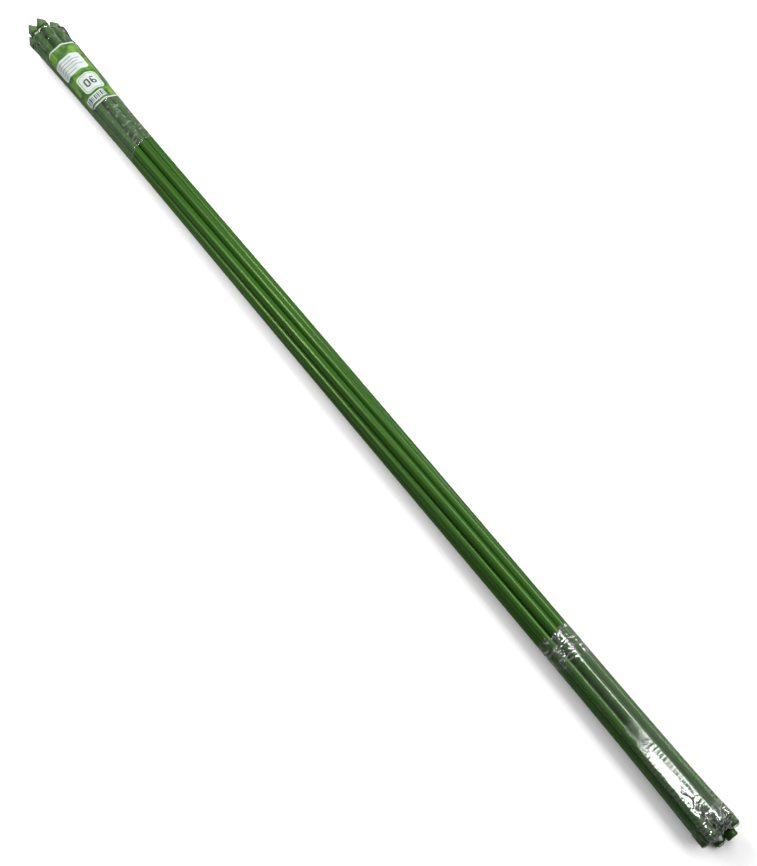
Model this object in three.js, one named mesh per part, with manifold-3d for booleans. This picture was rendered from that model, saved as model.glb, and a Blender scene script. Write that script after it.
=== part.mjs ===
// A bundle of plant support poles: eight green coated steel poles in a ring round a ninth one.
// Each pole is a steel tube in a plastic coat, with a pointed ground tip and a round end cap.
// A clear shrink sleeve holds each end, and the tip end's sleeve holds a label card on the poles.
// Units are millimetres and degrees. The poles lie along X with their tips at -X, and +Z is up.
import * as THREE from 'three';
import { mergeVertices } from 'three/addons/utils/BufferGeometryUtils.js';
import Module from 'manifold-3d';

// The poles
const poleLength = 900;
const coatDiameter = 8;
const coatWall = 0.6;
const coreClearance = 0.1;
const coreWall = 0.4;
const coreRecess = 0.5;
const ringPoles = 8;

// The bundle: how far the poles lie apart, twist over their length and stick out past each other
const waistGap = 0.06;
const capGap = 0.1;
const bundleTwist = 45;
const bundleRoll = 71;
const stagger = 13;
const staggerShares = [0.59, 0.05, 0, 0.38, 0.42, 0.28, 0.84, 1, 0.15];
const spreadPower = 6;

// The ground tips
const tipWall = 0.4;
const tipRimLength = 5.4;
const tipPointLength = 6.6;
const tipNoseRadius = 1.1;
const tipSocketDepth = 5;
const tipChamfer = 0.2;

// The end caps
const capWall = 0.55;
const capLength = 11;
const capSocketDepth = 8.4;
const capEdgeRadius = 1.2;
const capLipChamfer = 0.3;

// What the two kinds of socket share
const socketClearance = 0.15;
const seatClearance = 0.3;

// The shrink sleeves. The film ends short of the pole that sticks out furthest at the caps.
const tipSleeveLength = 169;
const capSleeveLength = 190;
const sleeveWall = 0.5;
const sleeveClearance = 0.3;
const sleeveRestDepth = 0.2;
const capSleeveShoulder = 7;
const bareCap = 7;
const bareCapLength = 6;

// How far the film turns in past the caps, as shares of its reach and of the way to the middle, and
// how much of that the bare cap lets it; and over the points of the tips, the share of their length
// left bare and the share that its reach loses there.
const capBendShare = 0.08;
const capDrawShare = 0.12;
const bareCapTurnShare = 0.05;
const tipBareShare = 0.8;
const tipBendShare = 0.16;

// The label card, and the pole whose flat it starts on
const labelWidth = 74;
const labelStart = 28.3;
const labelThickness = 0.3;
const labelFirstPole = 3;
const labelFirstFacetShare = 0.3;
const labelCorner = 7;

// Facets
const coatSides = 16;
const boreSides = 8;
const turnedSides = 16;
const poleSteps = 9;
const bendSteps = 3;
const arcPoints = 3;
const sleeveSpans = 6;
const labelSpans = 5;

const coatRadius = coatDiameter / 2;
const socketRadius = coatRadius + socketClearance;
const tipRadius = socketRadius + tipWall;
const capRadius = socketRadius + capWall;
const tipLength = tipRimLength + tipPointLength;
const bundleHalf = (poleLength + stagger) / 2;
const spreadHalf = bundleHalf - stagger - Math.max(tipLength, capLength);
const ringStep = (2 * Math.PI) / ringPoles;
const chordToRadius = 1 / (2 * Math.sin(ringStep / 2));
const waistRadius = (coatDiameter + waistGap) * chordToRadius;
const endRadius = (2 * Math.max(tipRadius, capRadius) + capGap) * chordToRadius;
const innerDrop = waistRadius - coatDiameter - waistGap;

const finishes = {
  steel: { color: 0x9a9c9e, roughness: 0.35, metalness: 1 },
  coat: { color: 0x2f6b22, roughness: 0.35, metalness: 0 },
  tip: { color: 0x4c7f38, roughness: 0.5, metalness: 0 },
  cap: { color: 0x44762f, roughness: 0.5, metalness: 0 },
  sleeve: { color: 0xdfe6df, roughness: 0.15, metalness: 0, transparent: true, opacity: 0.3 },
  label: { color: 0x4f8f36, roughness: 0.45, metalness: 0 },
};

// Where the poles run

// The ring is tight at the waist and opens towards both ends, where the wider tips and caps meet.
function ringRadius(x) {
  const share = Math.min(Math.abs(x / spreadHalf), 1);
  return waistRadius + (endRadius - waistRadius) * share ** spreadPower;
}

// Angle of a ring pole from straight up towards +Y. The bundle twists by one pole over its length.
function ringAngle(index, x) {
  const twist = (bundleTwist / 2) * Math.sin((Math.PI / 2) * (x / bundleHalf));
  return THREE.MathUtils.degToRad(bundleRoll + twist) - index * ringStep;
}

// Centre of a pole at x. The last pole is the inner one, which lies on the lowest of the ring.
function poleCentre(index, x) {
  if (index >= ringPoles) {
    return new THREE.Vector3(x, 0, -innerDrop);
  }
  const angle = ringAngle(index, x);
  const radius = ringRadius(x);
  return new THREE.Vector3(x, radius * Math.sin(angle), radius * Math.cos(angle));
}

// The line of one pole, walked by x in steps that are shorter towards its ends, where it bends.
class PoleLine extends THREE.Curve {
  constructor(index, xStart, xEnd) {
    super();
    this.index = index;
    this.xStart = xStart;
    this.xEnd = xEnd;
  }

  getPoint(t, target = new THREE.Vector3()) {
    const share = (1 - Math.cos(Math.PI * t)) / 2;
    const x = THREE.MathUtils.lerp(this.xStart, this.xEnd, share);
    return target.copy(poleCentre(this.index, x));
  }

  getUtoTmapping(u) {
    return u;
  }

  getTangent(t, target = new THREE.Vector3()) {
    const share = (1 - Math.cos(Math.PI * t)) / 2;
    return target.copy(poleDirection(this.index, THREE.MathUtils.lerp(this.xStart, this.xEnd, share)));
  }
}

// Direction of a pole at x, towards its cap.
function poleDirection(index, x) {
  const before = poleCentre(index, x - coatRadius);
  const after = poleCentre(index, x + coatRadius);
  return after.sub(before).normalize();
}

// A regular outline of a given radius, as a shape or a hole.
function roundOutline(radius, sides, Outline) {
  const points = [];
  for (let side = 0; side < sides; side += 1) {
    const angle = (side / sides) * 2 * Math.PI;
    points.push(new THREE.Vector2(radius * Math.cos(angle), radius * Math.sin(angle)));
  }
  return new Outline(points);
}

// A tube along a pole's line, square to it at both ends.
function poleTube(index, outer, outerSides, inner, innerSides, xStart, xEnd) {
  const section = roundOutline(outer, outerSides, THREE.Shape);
  section.holes.push(roundOutline(inner, innerSides, THREE.Path));
  const extrudePath = new PoleLine(index, xStart, xEnd);
  return new THREE.ExtrudeGeometry(section, { extrudePath, steps: poleSteps, bevelEnabled: false });
}

// Round bend of a profile about (x, y), from one angle to another, in degrees.
function bend(x, y, radius, from, to) {
  const points = [];
  for (let step = 0; step <= bendSteps; step += 1) {
    const angle = THREE.MathUtils.degToRad(from + ((to - from) * step) / bendSteps);
    points.push(new THREE.Vector2(x + radius * Math.cos(angle), y + radius * Math.sin(angle)));
  }
  return points;
}

// A ground tip along +Y: a rim with a blind socket, and a point with a rounded nose.
// It is drawn from the mouth of its socket at y = 0.
function tipGeometry() {
  const noseCentre = tipLength - tipNoseRadius;
  const slope = THREE.MathUtils.radToDeg(Math.atan2(tipRadius - tipNoseRadius, tipPointLength));
  const profile = [
    new THREE.Vector2(0, tipSocketDepth),
    new THREE.Vector2(socketRadius, tipSocketDepth),
    new THREE.Vector2(socketRadius, 0),
    new THREE.Vector2(tipRadius - tipChamfer, 0),
    new THREE.Vector2(tipRadius, tipChamfer),
    new THREE.Vector2(tipRadius, tipRimLength - tipChamfer),
    new THREE.Vector2(tipRadius - tipChamfer, tipRimLength + tipChamfer),
    ...bend(0, noseCentre, tipNoseRadius, slope, 90),
  ];
  profile[profile.length - 1].x = 0;
  return new THREE.LatheGeometry(profile, turnedSides);
}

// An end cap along +Y: a blind socket, a chamfered lip and a flat end with a rounded edge.
function capGeometry() {
  const profile = [
    new THREE.Vector2(0, capSocketDepth),
    new THREE.Vector2(socketRadius, capSocketDepth),
    new THREE.Vector2(socketRadius, 0),
    new THREE.Vector2(capRadius - capLipChamfer, 0),
    new THREE.Vector2(capRadius, capLipChamfer),
    ...bend(capRadius - capEdgeRadius, capLength - capEdgeRadius, capEdgeRadius, 0, 90),
    new THREE.Vector2(0, capLength),
  ];
  return new THREE.LatheGeometry(profile, turnedSides);
}

function finishedMesh(name, geometry, finish) {
  const mesh = new THREE.Mesh(geometry, new THREE.MeshStandardMaterial(finish));
  mesh.name = name;
  return mesh;
}

// Stands a turned piece with its socket mouth at x on a pole's line, facing its point or its end.
function standOnPole(mesh, index, x, facing) {
  const direction = poleDirection(index, x).multiplyScalar(facing);
  mesh.position.copy(poleCentre(index, x));
  mesh.quaternion.setFromUnitVectors(new THREE.Vector3(0, 1, 0), direction);
  return mesh;
}

// One whole pole: steel tube, coat, ground tip and end cap.
function makePole(index) {
  const pole = new THREE.Group();
  const prefix = `pole_${index + 1}`;
  const noseX = -bundleHalf + staggerShares[index] * stagger;
  const endX = noseX + poleLength;
  const tipMouthX = noseX + tipLength;
  const capMouthX = endX - capLength;
  const coatStart = tipMouthX - tipSocketDepth + seatClearance;
  const coatEnd = capMouthX + capSocketDepth - seatClearance;
  const boreRadius = coatRadius - coatWall;
  const coreRadius = boreRadius - coreClearance;
  const coat = poleTube(index, coatRadius, coatSides, boreRadius, boreSides, coatStart, coatEnd);
  const core = poleTube(
    index, coreRadius, boreSides, coreRadius - coreWall, boreSides,
    coatStart + coreRecess, coatEnd - coreRecess,
  );
  pole.add(finishedMesh(`${prefix}_steel_tube`, core, finishes.steel));
  pole.add(finishedMesh(`${prefix}_coat`, coat, finishes.coat));
  const tip = finishedMesh(`${prefix}_ground_tip`, tipGeometry(), finishes.tip);
  pole.add(standOnPole(tip, index, tipMouthX, -1));
  const cap = finishedMesh(`${prefix}_end_cap`, capGeometry(), finishes.cap);
  pole.add(standOnPole(cap, index, capMouthX, 1));
  return pole;
}

// How far a pole's point lies behind the foremost one, along +X.
function tipShift(index) {
  return staggerShares[index] * stagger;
}

// Where the film ends on a pole's cap, seen from the cap that sticks out furthest.
function capShift(index) {
  return index === bareCap ? -bareCapLength : (staggerShares[index] - 1) * stagger;
}

function capTurn(index) {
  return index === bareCap ? bareCapTurnShare : 1;
}

function noShift() {
  return 0;
}

function fullTurn() {
  return 1;
}

// The pole that a point of the arc round a pole faces: the one before it, itself or the next one.
function facedPole(index, point) {
  const side = Math.sign(point - (arcPoints - 1) / 2);
  return (index + side + ringPoles) % ringPoles;
}

// The skin drawn tight round the ring, near x: an arc round each pole and a flat between two poles.
// reach is the skin's distance from the poles' lines. shift moves it along each pole, and pick
// chooses between the shifts of two neighbours for the flat between them. bend is the share that
// its reach loses, and draw the share of the way that it goes to the middle.
function skinRing({ x, reach, shift = noShift, pick = Math.max, turn = fullTurn, bend = 0, draw = 0 }) {
  const points = [];
  for (let index = 0; index < ringPoles; index += 1) {
    const poleReach = reach * (1 - bend * turn(index));
    const kept = 1 - draw * turn(index);
    for (let point = 0; point < arcPoints; point += 1) {
      const pointX = x + pick(shift(index), shift(facedPole(index, point)));
      const centre = poleCentre(index, pointX);
      const lean = ringStep * (0.5 - point / (arcPoints - 1));
      const angle = ringAngle(index, pointX) + lean;
      const y = (centre.y + poleReach * Math.sin(angle)) * kept;
      const z = (centre.z + poleReach * Math.cos(angle)) * kept;
      points.push(new THREE.Vector3(pointX, y, z));
    }
  }
  return points;
}

// Joins equal rows of points into a skin. Each row closes on itself, and the last row on the first
// one when the skin is a ring. facesOut says which way the rows' order turns its faces.
function joinRows(rows, facesOut, ring) {
  const positions = rows.flat().flatMap((point) => point.toArray());
  const count = rows[0].length;
  const spans = ring ? rows.length : rows.length - 1;
  const faces = [];
  for (let row = 0; row < spans; row += 1) {
    const nextRow = (row + 1) % rows.length;
    for (let point = 0; point < count; point += 1) {
      const nextPoint = (point + 1) % count;
      const a = row * count + point;
      const b = row * count + nextPoint;
      const c = nextRow * count + nextPoint;
      const d = nextRow * count + point;
      faces.push(...(facesOut ? [a, b, c, a, c, d] : [a, c, b, a, d, c]));
    }
  }
  const geometry = new THREE.BufferGeometry();
  geometry.setAttribute('position', new THREE.Float32BufferAttribute(positions, 3));
  geometry.setIndex(faces);
  return geometry;
}

function spread(from, to, spans) {
  return Array.from({ length: spans + 1 }, (unused, step) => from + ((to - from) * step) / spans);
}

// The sleeve on the tips. It clears the label card, and draws in where each point begins.
function tipSleeveGeometry() {
  const overLabel = coatRadius + sleeveClearance + labelThickness;
  const reach = Math.max(overLabel, tipRadius, capRadius) + sleeveClearance;
  const lipX = -bundleHalf + tipPointLength * tipBareShare;
  const rimX = -bundleHalf + tipPointLength;
  const rimEndX = rimX + stagger + tipRimLength;
  const places = spread(lipX + tipSleeveLength, rimEndX, sleeveSpans).map((x) => ({ x, reach }));
  places.push({ x: rimX, reach, shift: tipShift, pick: Math.min });
  places.push({ x: lipX, reach, shift: tipShift, pick: Math.min, bend: tipBendShare });
  return closedSkin(places, false);
}

// The sleeve on the caps. It steps out over each cap and turns in at its end, round an open mouth.
function capSleeveGeometry() {
  const reach = coatRadius + sleeveClearance;
  const capReach = capRadius + sleeveClearance;
  const openX = bundleHalf - capSleeveLength;
  const capsX = bundleHalf - capLength;
  const spanEndX = capsX - stagger - capSleeveShoulder;
  const onCap = { shift: capShift, turn: capTurn, reach: capReach };
  const lipX = bundleHalf + sleeveClearance;
  const places = spread(openX, spanEndX, sleeveSpans).map((x) => ({ x, reach }));
  places.push({ ...onCap, x: capsX - sleeveClearance, pick: Math.min });
  places.push({ ...onCap, x: bundleHalf - capEdgeRadius });
  places.push({ ...onCap, x: lipX, bend: capBendShare });
  places.push({ ...onCap, x: lipX, bend: capBendShare, draw: capDrawShare });
  return closedSkin(places, true);
}

// Gives a skin its wall: the same places outside, moved out by the wall, and back inside.
function closedSkin(places, lipAtEnd) {
  const outside = places.map((place) => ({ ...place, reach: place.reach + sleeveWall }));
  if (lipAtEnd) {
    outside[outside.length - 1].x += sleeveWall;
    outside[outside.length - 2].x += sleeveWall;
  }
  return joinRows([...outside, ...places.reverse()].map(skinRing), lipAtEnd, true);
}

// The label card lies on the ring from the flat behind one pole round to another pole's top.
// Its far corners are cut at a slant, so that they read as round.
function labelRow(x, reach, trim) {
  const ring = skinRing({ x, reach });
  const firstPoint = labelFirstPole * arcPoints;
  const flatStart = ring[firstPoint];
  const flatEnd = ring[firstPoint - 1];
  const row = [flatStart.clone().lerp(flatEnd, labelFirstFacetShare)];
  for (let step = 1; step <= firstPoint; step += 1) {
    row.push(ring[firstPoint - step]);
  }
  const lastStart = ring[ring.length - 1];
  const lastEnd = ring[ring.length - 2];
  row.push(lastStart.clone());
  row.push(lastStart.clone().lerp(lastEnd, 1 - trim));
  return row;
}

function labelGeometry() {
  const inner = coatRadius + sleeveClearance;
  const outer = inner + labelThickness;
  const startX = -bundleHalf + tipLength + labelStart;
  const corner = labelCorner / labelWidth;
  const shares = [0, corner, ...spread(corner, 1 - corner, labelSpans).slice(1, -1), 1 - corner, 1];
  const rows = shares.map((share) => {
    const x = startX + share * labelWidth;
    const trim = share === 0 || share === 1 ? 1 - labelFirstFacetShare : 0;
    return [...labelRow(x, outer, trim), ...labelRow(x, inner, trim).reverse()];
  });
  return closeEnds(rows);
}

// Joins rows into a bar with flat ends. Each row goes once round the bar's section, out and back.
function closeEnds(rows) {
  const geometry = joinRows(rows, false, false);
  const count = rows[0].length;
  const lastRow = (rows.length - 1) * count;
  const faces = Array.from(geometry.getIndex().array);
  for (let point = 0; point < count / 2 - 1; point += 1) {
    const across = count - 1 - point;
    const first = [point, across - 1, across, point, point + 1, across - 1];
    const last = [point, across, across - 1, point, across - 1, point + 1];
    faces.push(...first);
    faces.push(...last.map((corner) => corner + lastRow));
  }
  geometry.setIndex(faces);
  return geometry;
}

const wasm = await Module();
wasm.setup();

function toSolid(geometry) {
  const bare = geometry.clone();
  bare.deleteAttribute('normal');
  bare.deleteAttribute('uv');
  const merged = mergeVertices(bare);
  return new wasm.Manifold(new wasm.Mesh({
    numProp: 3,
    vertProperties: new Float32Array(merged.getAttribute('position').array),
    triVerts: new Uint32Array(merged.getIndex().array),
  }));
}

function toGeometry(solid) {
  const mesh = solid.getMesh();
  const geometry = new THREE.BufferGeometry();
  geometry.setAttribute('position', new THREE.BufferAttribute(mesh.vertProperties, 3));
  geometry.setIndex(new THREE.BufferAttribute(mesh.triVerts, 1));
  return geometry;
}

function lowestPoint(geometry) {
  geometry.computeBoundingBox();
  return geometry.boundingBox.min.z;
}

// Cuts a sleeve level where the bundle's weight presses it on the ground.
function cutLevel(geometry, restZ) {
  const length = 2 * poleLength;
  const slab = new THREE.BoxGeometry(length, length, length);
  slab.translate(0, 0, restZ - length / 2);
  return toGeometry(toSolid(geometry).subtract(toSolid(slab)));
}

const tipSleeve = tipSleeveGeometry();
const capSleeve = capSleeveGeometry();
const restZ = Math.max(lowestPoint(tipSleeve), lowestPoint(capSleeve)) + sleeveRestDepth;

const bundle = new THREE.Group();
for (let index = 0; index <= ringPoles; index += 1) {
  bundle.add(makePole(index));
}
bundle.add(finishedMesh('label_card', labelGeometry(), finishes.label));
bundle.add(finishedMesh('tip_end_sleeve', cutLevel(tipSleeve, restZ), finishes.sleeve));
bundle.add(finishedMesh('cap_end_sleeve', cutLevel(capSleeve, restZ), finishes.sleeve));

// The origin is on the ground, under the middle of the bundle's box.
const middle = new THREE.Box3().setFromObject(bundle).getCenter(new THREE.Vector3());
bundle.position.set(-middle.x, -middle.y, -restZ);

export default bundle;
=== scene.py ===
"""Looks of a bundle of plant support poles: nine green coated steel poles, held by two clear
shrink film sleeves, with a printed card under the film at the pointed end.

Units are metres and radians. The poles lie along X with their ground tips at -X, and +Z is up.
"""

import logging
import math
from collections.abc import Sequence
from dataclasses import dataclass, field
from enum import Enum

import bmesh
import bpy
import numpy as np
from mathutils import Matrix, Vector, noise


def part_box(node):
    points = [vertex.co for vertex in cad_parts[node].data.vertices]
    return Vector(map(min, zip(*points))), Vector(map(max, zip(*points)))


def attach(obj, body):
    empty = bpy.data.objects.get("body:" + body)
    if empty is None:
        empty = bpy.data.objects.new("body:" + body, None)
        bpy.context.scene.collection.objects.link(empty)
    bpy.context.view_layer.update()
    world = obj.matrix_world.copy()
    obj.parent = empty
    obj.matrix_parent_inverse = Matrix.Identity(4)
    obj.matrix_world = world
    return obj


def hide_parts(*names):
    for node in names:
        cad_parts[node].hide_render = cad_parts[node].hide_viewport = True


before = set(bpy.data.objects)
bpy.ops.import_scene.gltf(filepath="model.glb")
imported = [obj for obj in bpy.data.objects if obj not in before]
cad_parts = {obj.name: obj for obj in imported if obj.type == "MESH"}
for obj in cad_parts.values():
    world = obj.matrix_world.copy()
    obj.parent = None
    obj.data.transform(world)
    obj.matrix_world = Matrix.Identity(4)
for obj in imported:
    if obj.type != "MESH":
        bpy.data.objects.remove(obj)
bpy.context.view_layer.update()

MM = 0.001
BODY = "root"
SEED = 11
PHOTO_SIZE = (757, 866)

MERGE_REACH = 0.0005 * MM
SHARP_EDGE = math.radians(40)

Node = bpy.types.Node
Socket = bpy.types.NodeSocket
Tree = bpy.types.NodeTree
Mesh = bpy.types.Mesh
Piece = bpy.types.Object
Material = bpy.types.Material
Looks = dict[str, np.ndarray]
Colour = tuple[float, float, float]

# A corner's distance from the axis, place along it and radius.
Corner = tuple[float, float, float]

# A column's pole, its lean on that pole and its share of the way to the next pole.
Column = tuple[int, float, float]

log = logging.getLogger("pole_bundle")


class Slot(Enum):
    """Material slot names for the pieces that are made here; the script does not use them."""

    COAT = "coat"
    TIP = "tip"
    CAP = "cap"
    LABEL = "label"
    SLEEVE = "sleeve"


# Shader building


@dataclass
class Shader:
    """A node tree that is being wired, with short calls for the nodes it needs."""

    tree: Tree

    def add(self, kind: str, **settings: object) -> Node:
        """Adds a node.

        Args:
            kind: The node's class name.
            settings: Its properties, by name.

        Returns:
            The new node.
        """
        node = self.tree.nodes.new(kind)
        for name, value in settings.items():
            setattr(node, name, value)
        return node

    def feed(self, socket: Socket, source: object) -> None:
        """Links a socket to another one, or sets its value.

        Args:
            socket: The input to fill.
            source: An output socket, a number, or a colour.
        """
        if isinstance(source, Socket):
            self.tree.links.new(source, socket)
        else:
            socket.default_value = source

    def math(self, operation: str, *inputs: object, clamp: bool = False) -> Socket:
        """Computes a number.

        Args:
            operation: The Math node's operation.
            inputs: Sockets or numbers, in order.
            clamp: Whether the result stays from 0 to 1.

        Returns:
            The result's socket.
        """
        node = self.add("ShaderNodeMath", operation=operation, use_clamp=clamp)
        for socket, source in zip(node.inputs, inputs):
            self.feed(socket, source)
        return node.outputs[0]

    def fill(self, node: Node, **values: object) -> Node:
        """Fills a node's inputs by name.

        Args:
            node: The node.
            values: What its inputs take, with the spaces of their names written as underscores.

        Returns:
            The node.
        """
        for name, value in values.items():
            self.feed(node.inputs[name.replace("_", " ")], value)
        return node

    def ramp(self, value: object, low: float, high: float) -> Socket:
        """Turns a value into a smooth mask.

        Args:
            value: The socket to read.
            low: Where the mask is 0.
            high: Where the mask is 1.

        Returns:
            The mask's socket.
        """
        node = self.add("ShaderNodeMapRange", interpolation_type="SMOOTHSTEP")
        return self.fill(node, Value=value, From_Min=low, From_Max=high).outputs["Result"]

    def blend(self, share: object, first: object, second: object) -> Socket:
        """Mixes two colours.

        Args:
            share: How much of the second one shows.
            first: The first colour.
            second: The second colour.

        Returns:
            The mixed colour's socket.
        """
        node = self.fill(self.add("ShaderNodeMix", data_type="RGBA"), Factor=share)
        for key, source in (("A_Color", first), ("B_Color", second)):
            self.feed(next(socket for socket in node.inputs if socket.identifier == key), source)
        return next(socket for socket in node.outputs if socket.identifier == "Result_Color")

    def cloud(self, place: object, scale: object, detail: float = 3.0, rough: float = 0.5) -> Socket:
        """Samples fractal noise.

        Args:
            place: The coordinates' socket.
            scale: Its scale, in cells per metre.
            detail: How many octaves it has.
            rough: How strong the fine octaves are.

        Returns:
            The noise value's socket.
        """
        node = self.add("ShaderNodeTexNoise")
        return self.fill(node, Vector=place, Scale=scale, Detail=detail, Roughness=rough).outputs["Fac"]

    def place(self, scale: Sequence[float] = (1.0, 1.0, 1.0)) -> Socket:
        """Gives Object coordinates scaled along X, Y and Z, as a socket."""
        place = self.add("ShaderNodeTexCoord").outputs["Object"]
        return self.fill(self.add("ShaderNodeMapping"), Vector=place, Scale=scale).outputs["Vector"]

    def attribute(self, name: str) -> Socket:
        """Reads one of the mesh's own attributes, as a number."""
        return self.add("ShaderNodeAttribute", attribute_name=name).outputs["Fac"]

    def bump(self, height: object, distance: float) -> Socket:
        """Turns a height of about 0 to 1 into a normal, for a relief of a depth in metres."""
        return self.fill(self.add("ShaderNodeBump"), Height=height, Distance=distance).outputs["Normal"]

    def group(self, tree: Tree, **values: object) -> Node:
        """Places a node group and fills its inputs, as fill does."""
        return self.fill(self.add("ShaderNodeGroup", node_tree=tree), **values)


def new_group(name: str, inputs: dict[str, float], outputs: Sequence[str]) -> tuple[Shader, Node, Node]:
    """Starts a shader node group of plain numbers.

    Args:
        name: The group's name.
        inputs: Its inputs with their usual values.
        outputs: The names of its outputs.

    Returns:
        The tree's shader, its input node and its output node.
    """
    tree = bpy.data.node_groups.new(name, "ShaderNodeTree")
    for key, value in inputs.items():
        socket = tree.interface.new_socket(key, in_out="INPUT", socket_type="NodeSocketFloat")
        socket.default_value = value
    for key in outputs:
        tree.interface.new_socket(key, in_out="OUTPUT", socket_type="NodeSocketFloat")
    shader = Shader(tree)
    return shader, shader.add("NodeGroupInput"), shader.add("NodeGroupOutput")


def drawn_streaks_group() -> Tree:
    """Makes the lengthwise lines that a coat keeps from its die.

    Returns:
        A group with outputs Line, for fine lines, and Band, for broad ones.
    """
    shader, given, made = new_group("drawn streaks", {"Fineness": 900.0}, ("Line", "Band"))
    place = shader.place((0.02, 1.0, 1.0))
    line = shader.cloud(place, given.outputs["Fineness"], 2.0)
    shader.fill(made, Line=line, Band=shader.cloud(place, 260.0, 2.0))
    return shader.tree


def handling_group() -> Tree:
    """Makes the small scuffs and dust that handling leaves on plastic.

    Returns:
        A group with outputs Scuff and Dust, both masks.
    """
    shader, given, made = new_group("handling marks", {"Amount": 0.5}, ("Scuff", "Dust"))
    amount = given.outputs["Amount"]
    scratches = shader.ramp(shader.cloud(shader.place((0.18, 1.0, 1.0)), 1400.0, 3.0, 0.6), 0.6, 0.74)
    patches = shader.ramp(shader.cloud(shader.place((0.6, 1.0, 1.0)), 90.0, 2.0), 0.45, 0.65)
    specks = shader.ramp(shader.cloud(shader.place(), 2600.0, 1.0), 0.7, 0.8)
    marks = shader.math("MULTIPLY", scratches, patches)
    scuff, dust = (shader.math("MULTIPLY", mask, amount) for mask in (marks, specks))
    shader.fill(made, Scuff=scuff, Dust=dust)
    return shader.tree


def crumple_group() -> Tree:
    """Makes the small creases and the uneven haze of shrunk film.

    Returns:
        A group with outputs Crease, a height, and Haze, a mask.
    """
    shader, given, made = new_group("film crumple", {"Crease Scale": 520.0}, ("Crease", "Haze"))
    place = shader.place((0.7, 1.0, 1.0))
    folds = shader.cloud(place, given.outputs["Crease Scale"], 4.0, 0.6)
    ridge = shader.math("ABSOLUTE", shader.math("SUBTRACT", folds, 0.5))
    haze = shader.ramp(shader.cloud(place, 120.0, 4.0, 0.6), 0.3, 0.75)
    shader.fill(made, Crease=shader.math("MULTIPLY", ridge, 2.0), Haze=haze)
    return shader.tree


def stamp_group() -> Tree:
    """Makes the mask of a printed rounded box, whole or as a line.

    Returns:
        A group with the output Mask.
    """
    ways = ("Across", "Along")
    values = [*ways, *(f"{part} {way}" for part in ("Middle", "Half") for way in ways), "Corner", "Line"]
    shader, given, made = new_group("printed box", dict.fromkeys(values, 0.0), ("Mask",))
    past = []
    for way in ways:
        offset = shader.math("SUBTRACT", given.outputs[way], given.outputs[f"Middle {way}"])
        inner = shader.math("SUBTRACT", given.outputs[f"Half {way}"], given.outputs["Corner"])
        past.append(shader.math("SUBTRACT", shader.math("ABSOLUTE", offset), inner))
    squares = [shader.math("POWER", shader.math("MAXIMUM", side, 0.0), 2.0) for side in past]
    outside = shader.math("SQRT", shader.math("ADD", *squares))
    inside = shader.math("MINIMUM", shader.math("MAXIMUM", *past), 0.0)
    distance = shader.math("SUBTRACT", shader.math("ADD", outside, inside), given.outputs["Corner"])
    half_line = shader.math("MULTIPLY", given.outputs["Line"], 0.5)
    from_line = shader.math("ABSOLUTE", shader.math("ADD", distance, half_line))
    shader.fill(made, Mask=shader.ramp(shader.math("SUBTRACT", half_line, from_line), -0.05, 0.05))
    return shader.tree


@dataclass
class SharedGroups:
    """The node groups that several finishes use, each built once."""

    streaks: Tree = field(default_factory=drawn_streaks_group)
    handling: Tree = field(default_factory=handling_group)
    crumple: Tree = field(default_factory=crumple_group)
    stamp: Tree = field(default_factory=stamp_group)


def new_material(name: str) -> tuple[Material, Shader, Node]:
    """Starts a material.

    Args:
        name: The material's name.

    Returns:
        The material, its shader and its Principled BSDF.
    """
    material = bpy.data.materials.new(name)
    material.use_nodes = True
    shader = Shader(material.node_tree)
    return material, shader, material.node_tree.nodes["Principled BSDF"]


def opaque(colour: Colour, level: float = 1.0, veil: float = 0.0) -> tuple[float, float, float, float]:
    """Gives a colour with full alpha, times a level and under a pale veil."""
    return (*[part * level + veil for part in colour], 1.0)


# Finishes


@dataclass(frozen=True)
class MouldedPlastic:
    """Green plastic of a coat, a ground tip or an end cap.

    Args:
        name: The material's name.
        colour: Its base colour, linear.
        roughness: Its usual roughness.
        relief: Depth of its surface lines, in metres.
        drawn: Whether it was drawn through a die, as a coat is, or moulded.
        wear: How many marks handling has left.
        gloss: Its specular level.
        shine: The tint of its highlights, linear.
        dust: The colour of the dust on it, linear.
        dark: Level of its darker streaks.
        scuffed: Level and pale veil of its scuffs.
    """

    name: str
    colour: Colour
    roughness: float
    relief: float
    drawn: bool
    wear: float
    gloss: float = 0.38
    shine: Colour = (0.65, 1.0, 0.42)
    dust: Colour = (0.3, 0.36, 0.26)
    dark: float = 0.82
    scuffed: tuple[float, float] = (1.25, 0.012)

    def build(self, groups: SharedGroups) -> Material:
        """Builds the material.

        Args:
            groups: The shared node groups.

        Returns:
            The material.
        """
        material, shader, bsdf = new_material(self.name)
        marks = shader.group(groups.handling, Amount=self.wear)
        if self.drawn:
            lines = shader.group(groups.streaks, Fineness=900.0)
            grain, fine = lines.outputs["Band"], lines.outputs["Line"]
        else:
            grain, fine = shader.cloud(shader.place(), 420.0), shader.cloud(shader.place(), 1500.0)
        tint = shader.blend(shader.ramp(grain, 0.3, 0.7), opaque(self.colour, self.dark), opaque(self.colour))
        tint = shader.blend(marks.outputs["Scuff"], tint, opaque(self.colour, *self.scuffed))
        spread = shader.math("MULTIPLY_ADD", fine, 0.16, self.roughness - 0.08)
        shader.fill(
            bsdf,
            Base_Color=shader.blend(marks.outputs["Dust"], tint, opaque(self.dust)),
            Roughness=shader.math("ADD", spread, marks.outputs["Scuff"], clamp=True),
            Normal=shader.bump(fine, self.relief),
            Specular_IOR_Level=self.gloss,
            Specular_Tint=opaque(self.shine),
        )
        return material


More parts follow.
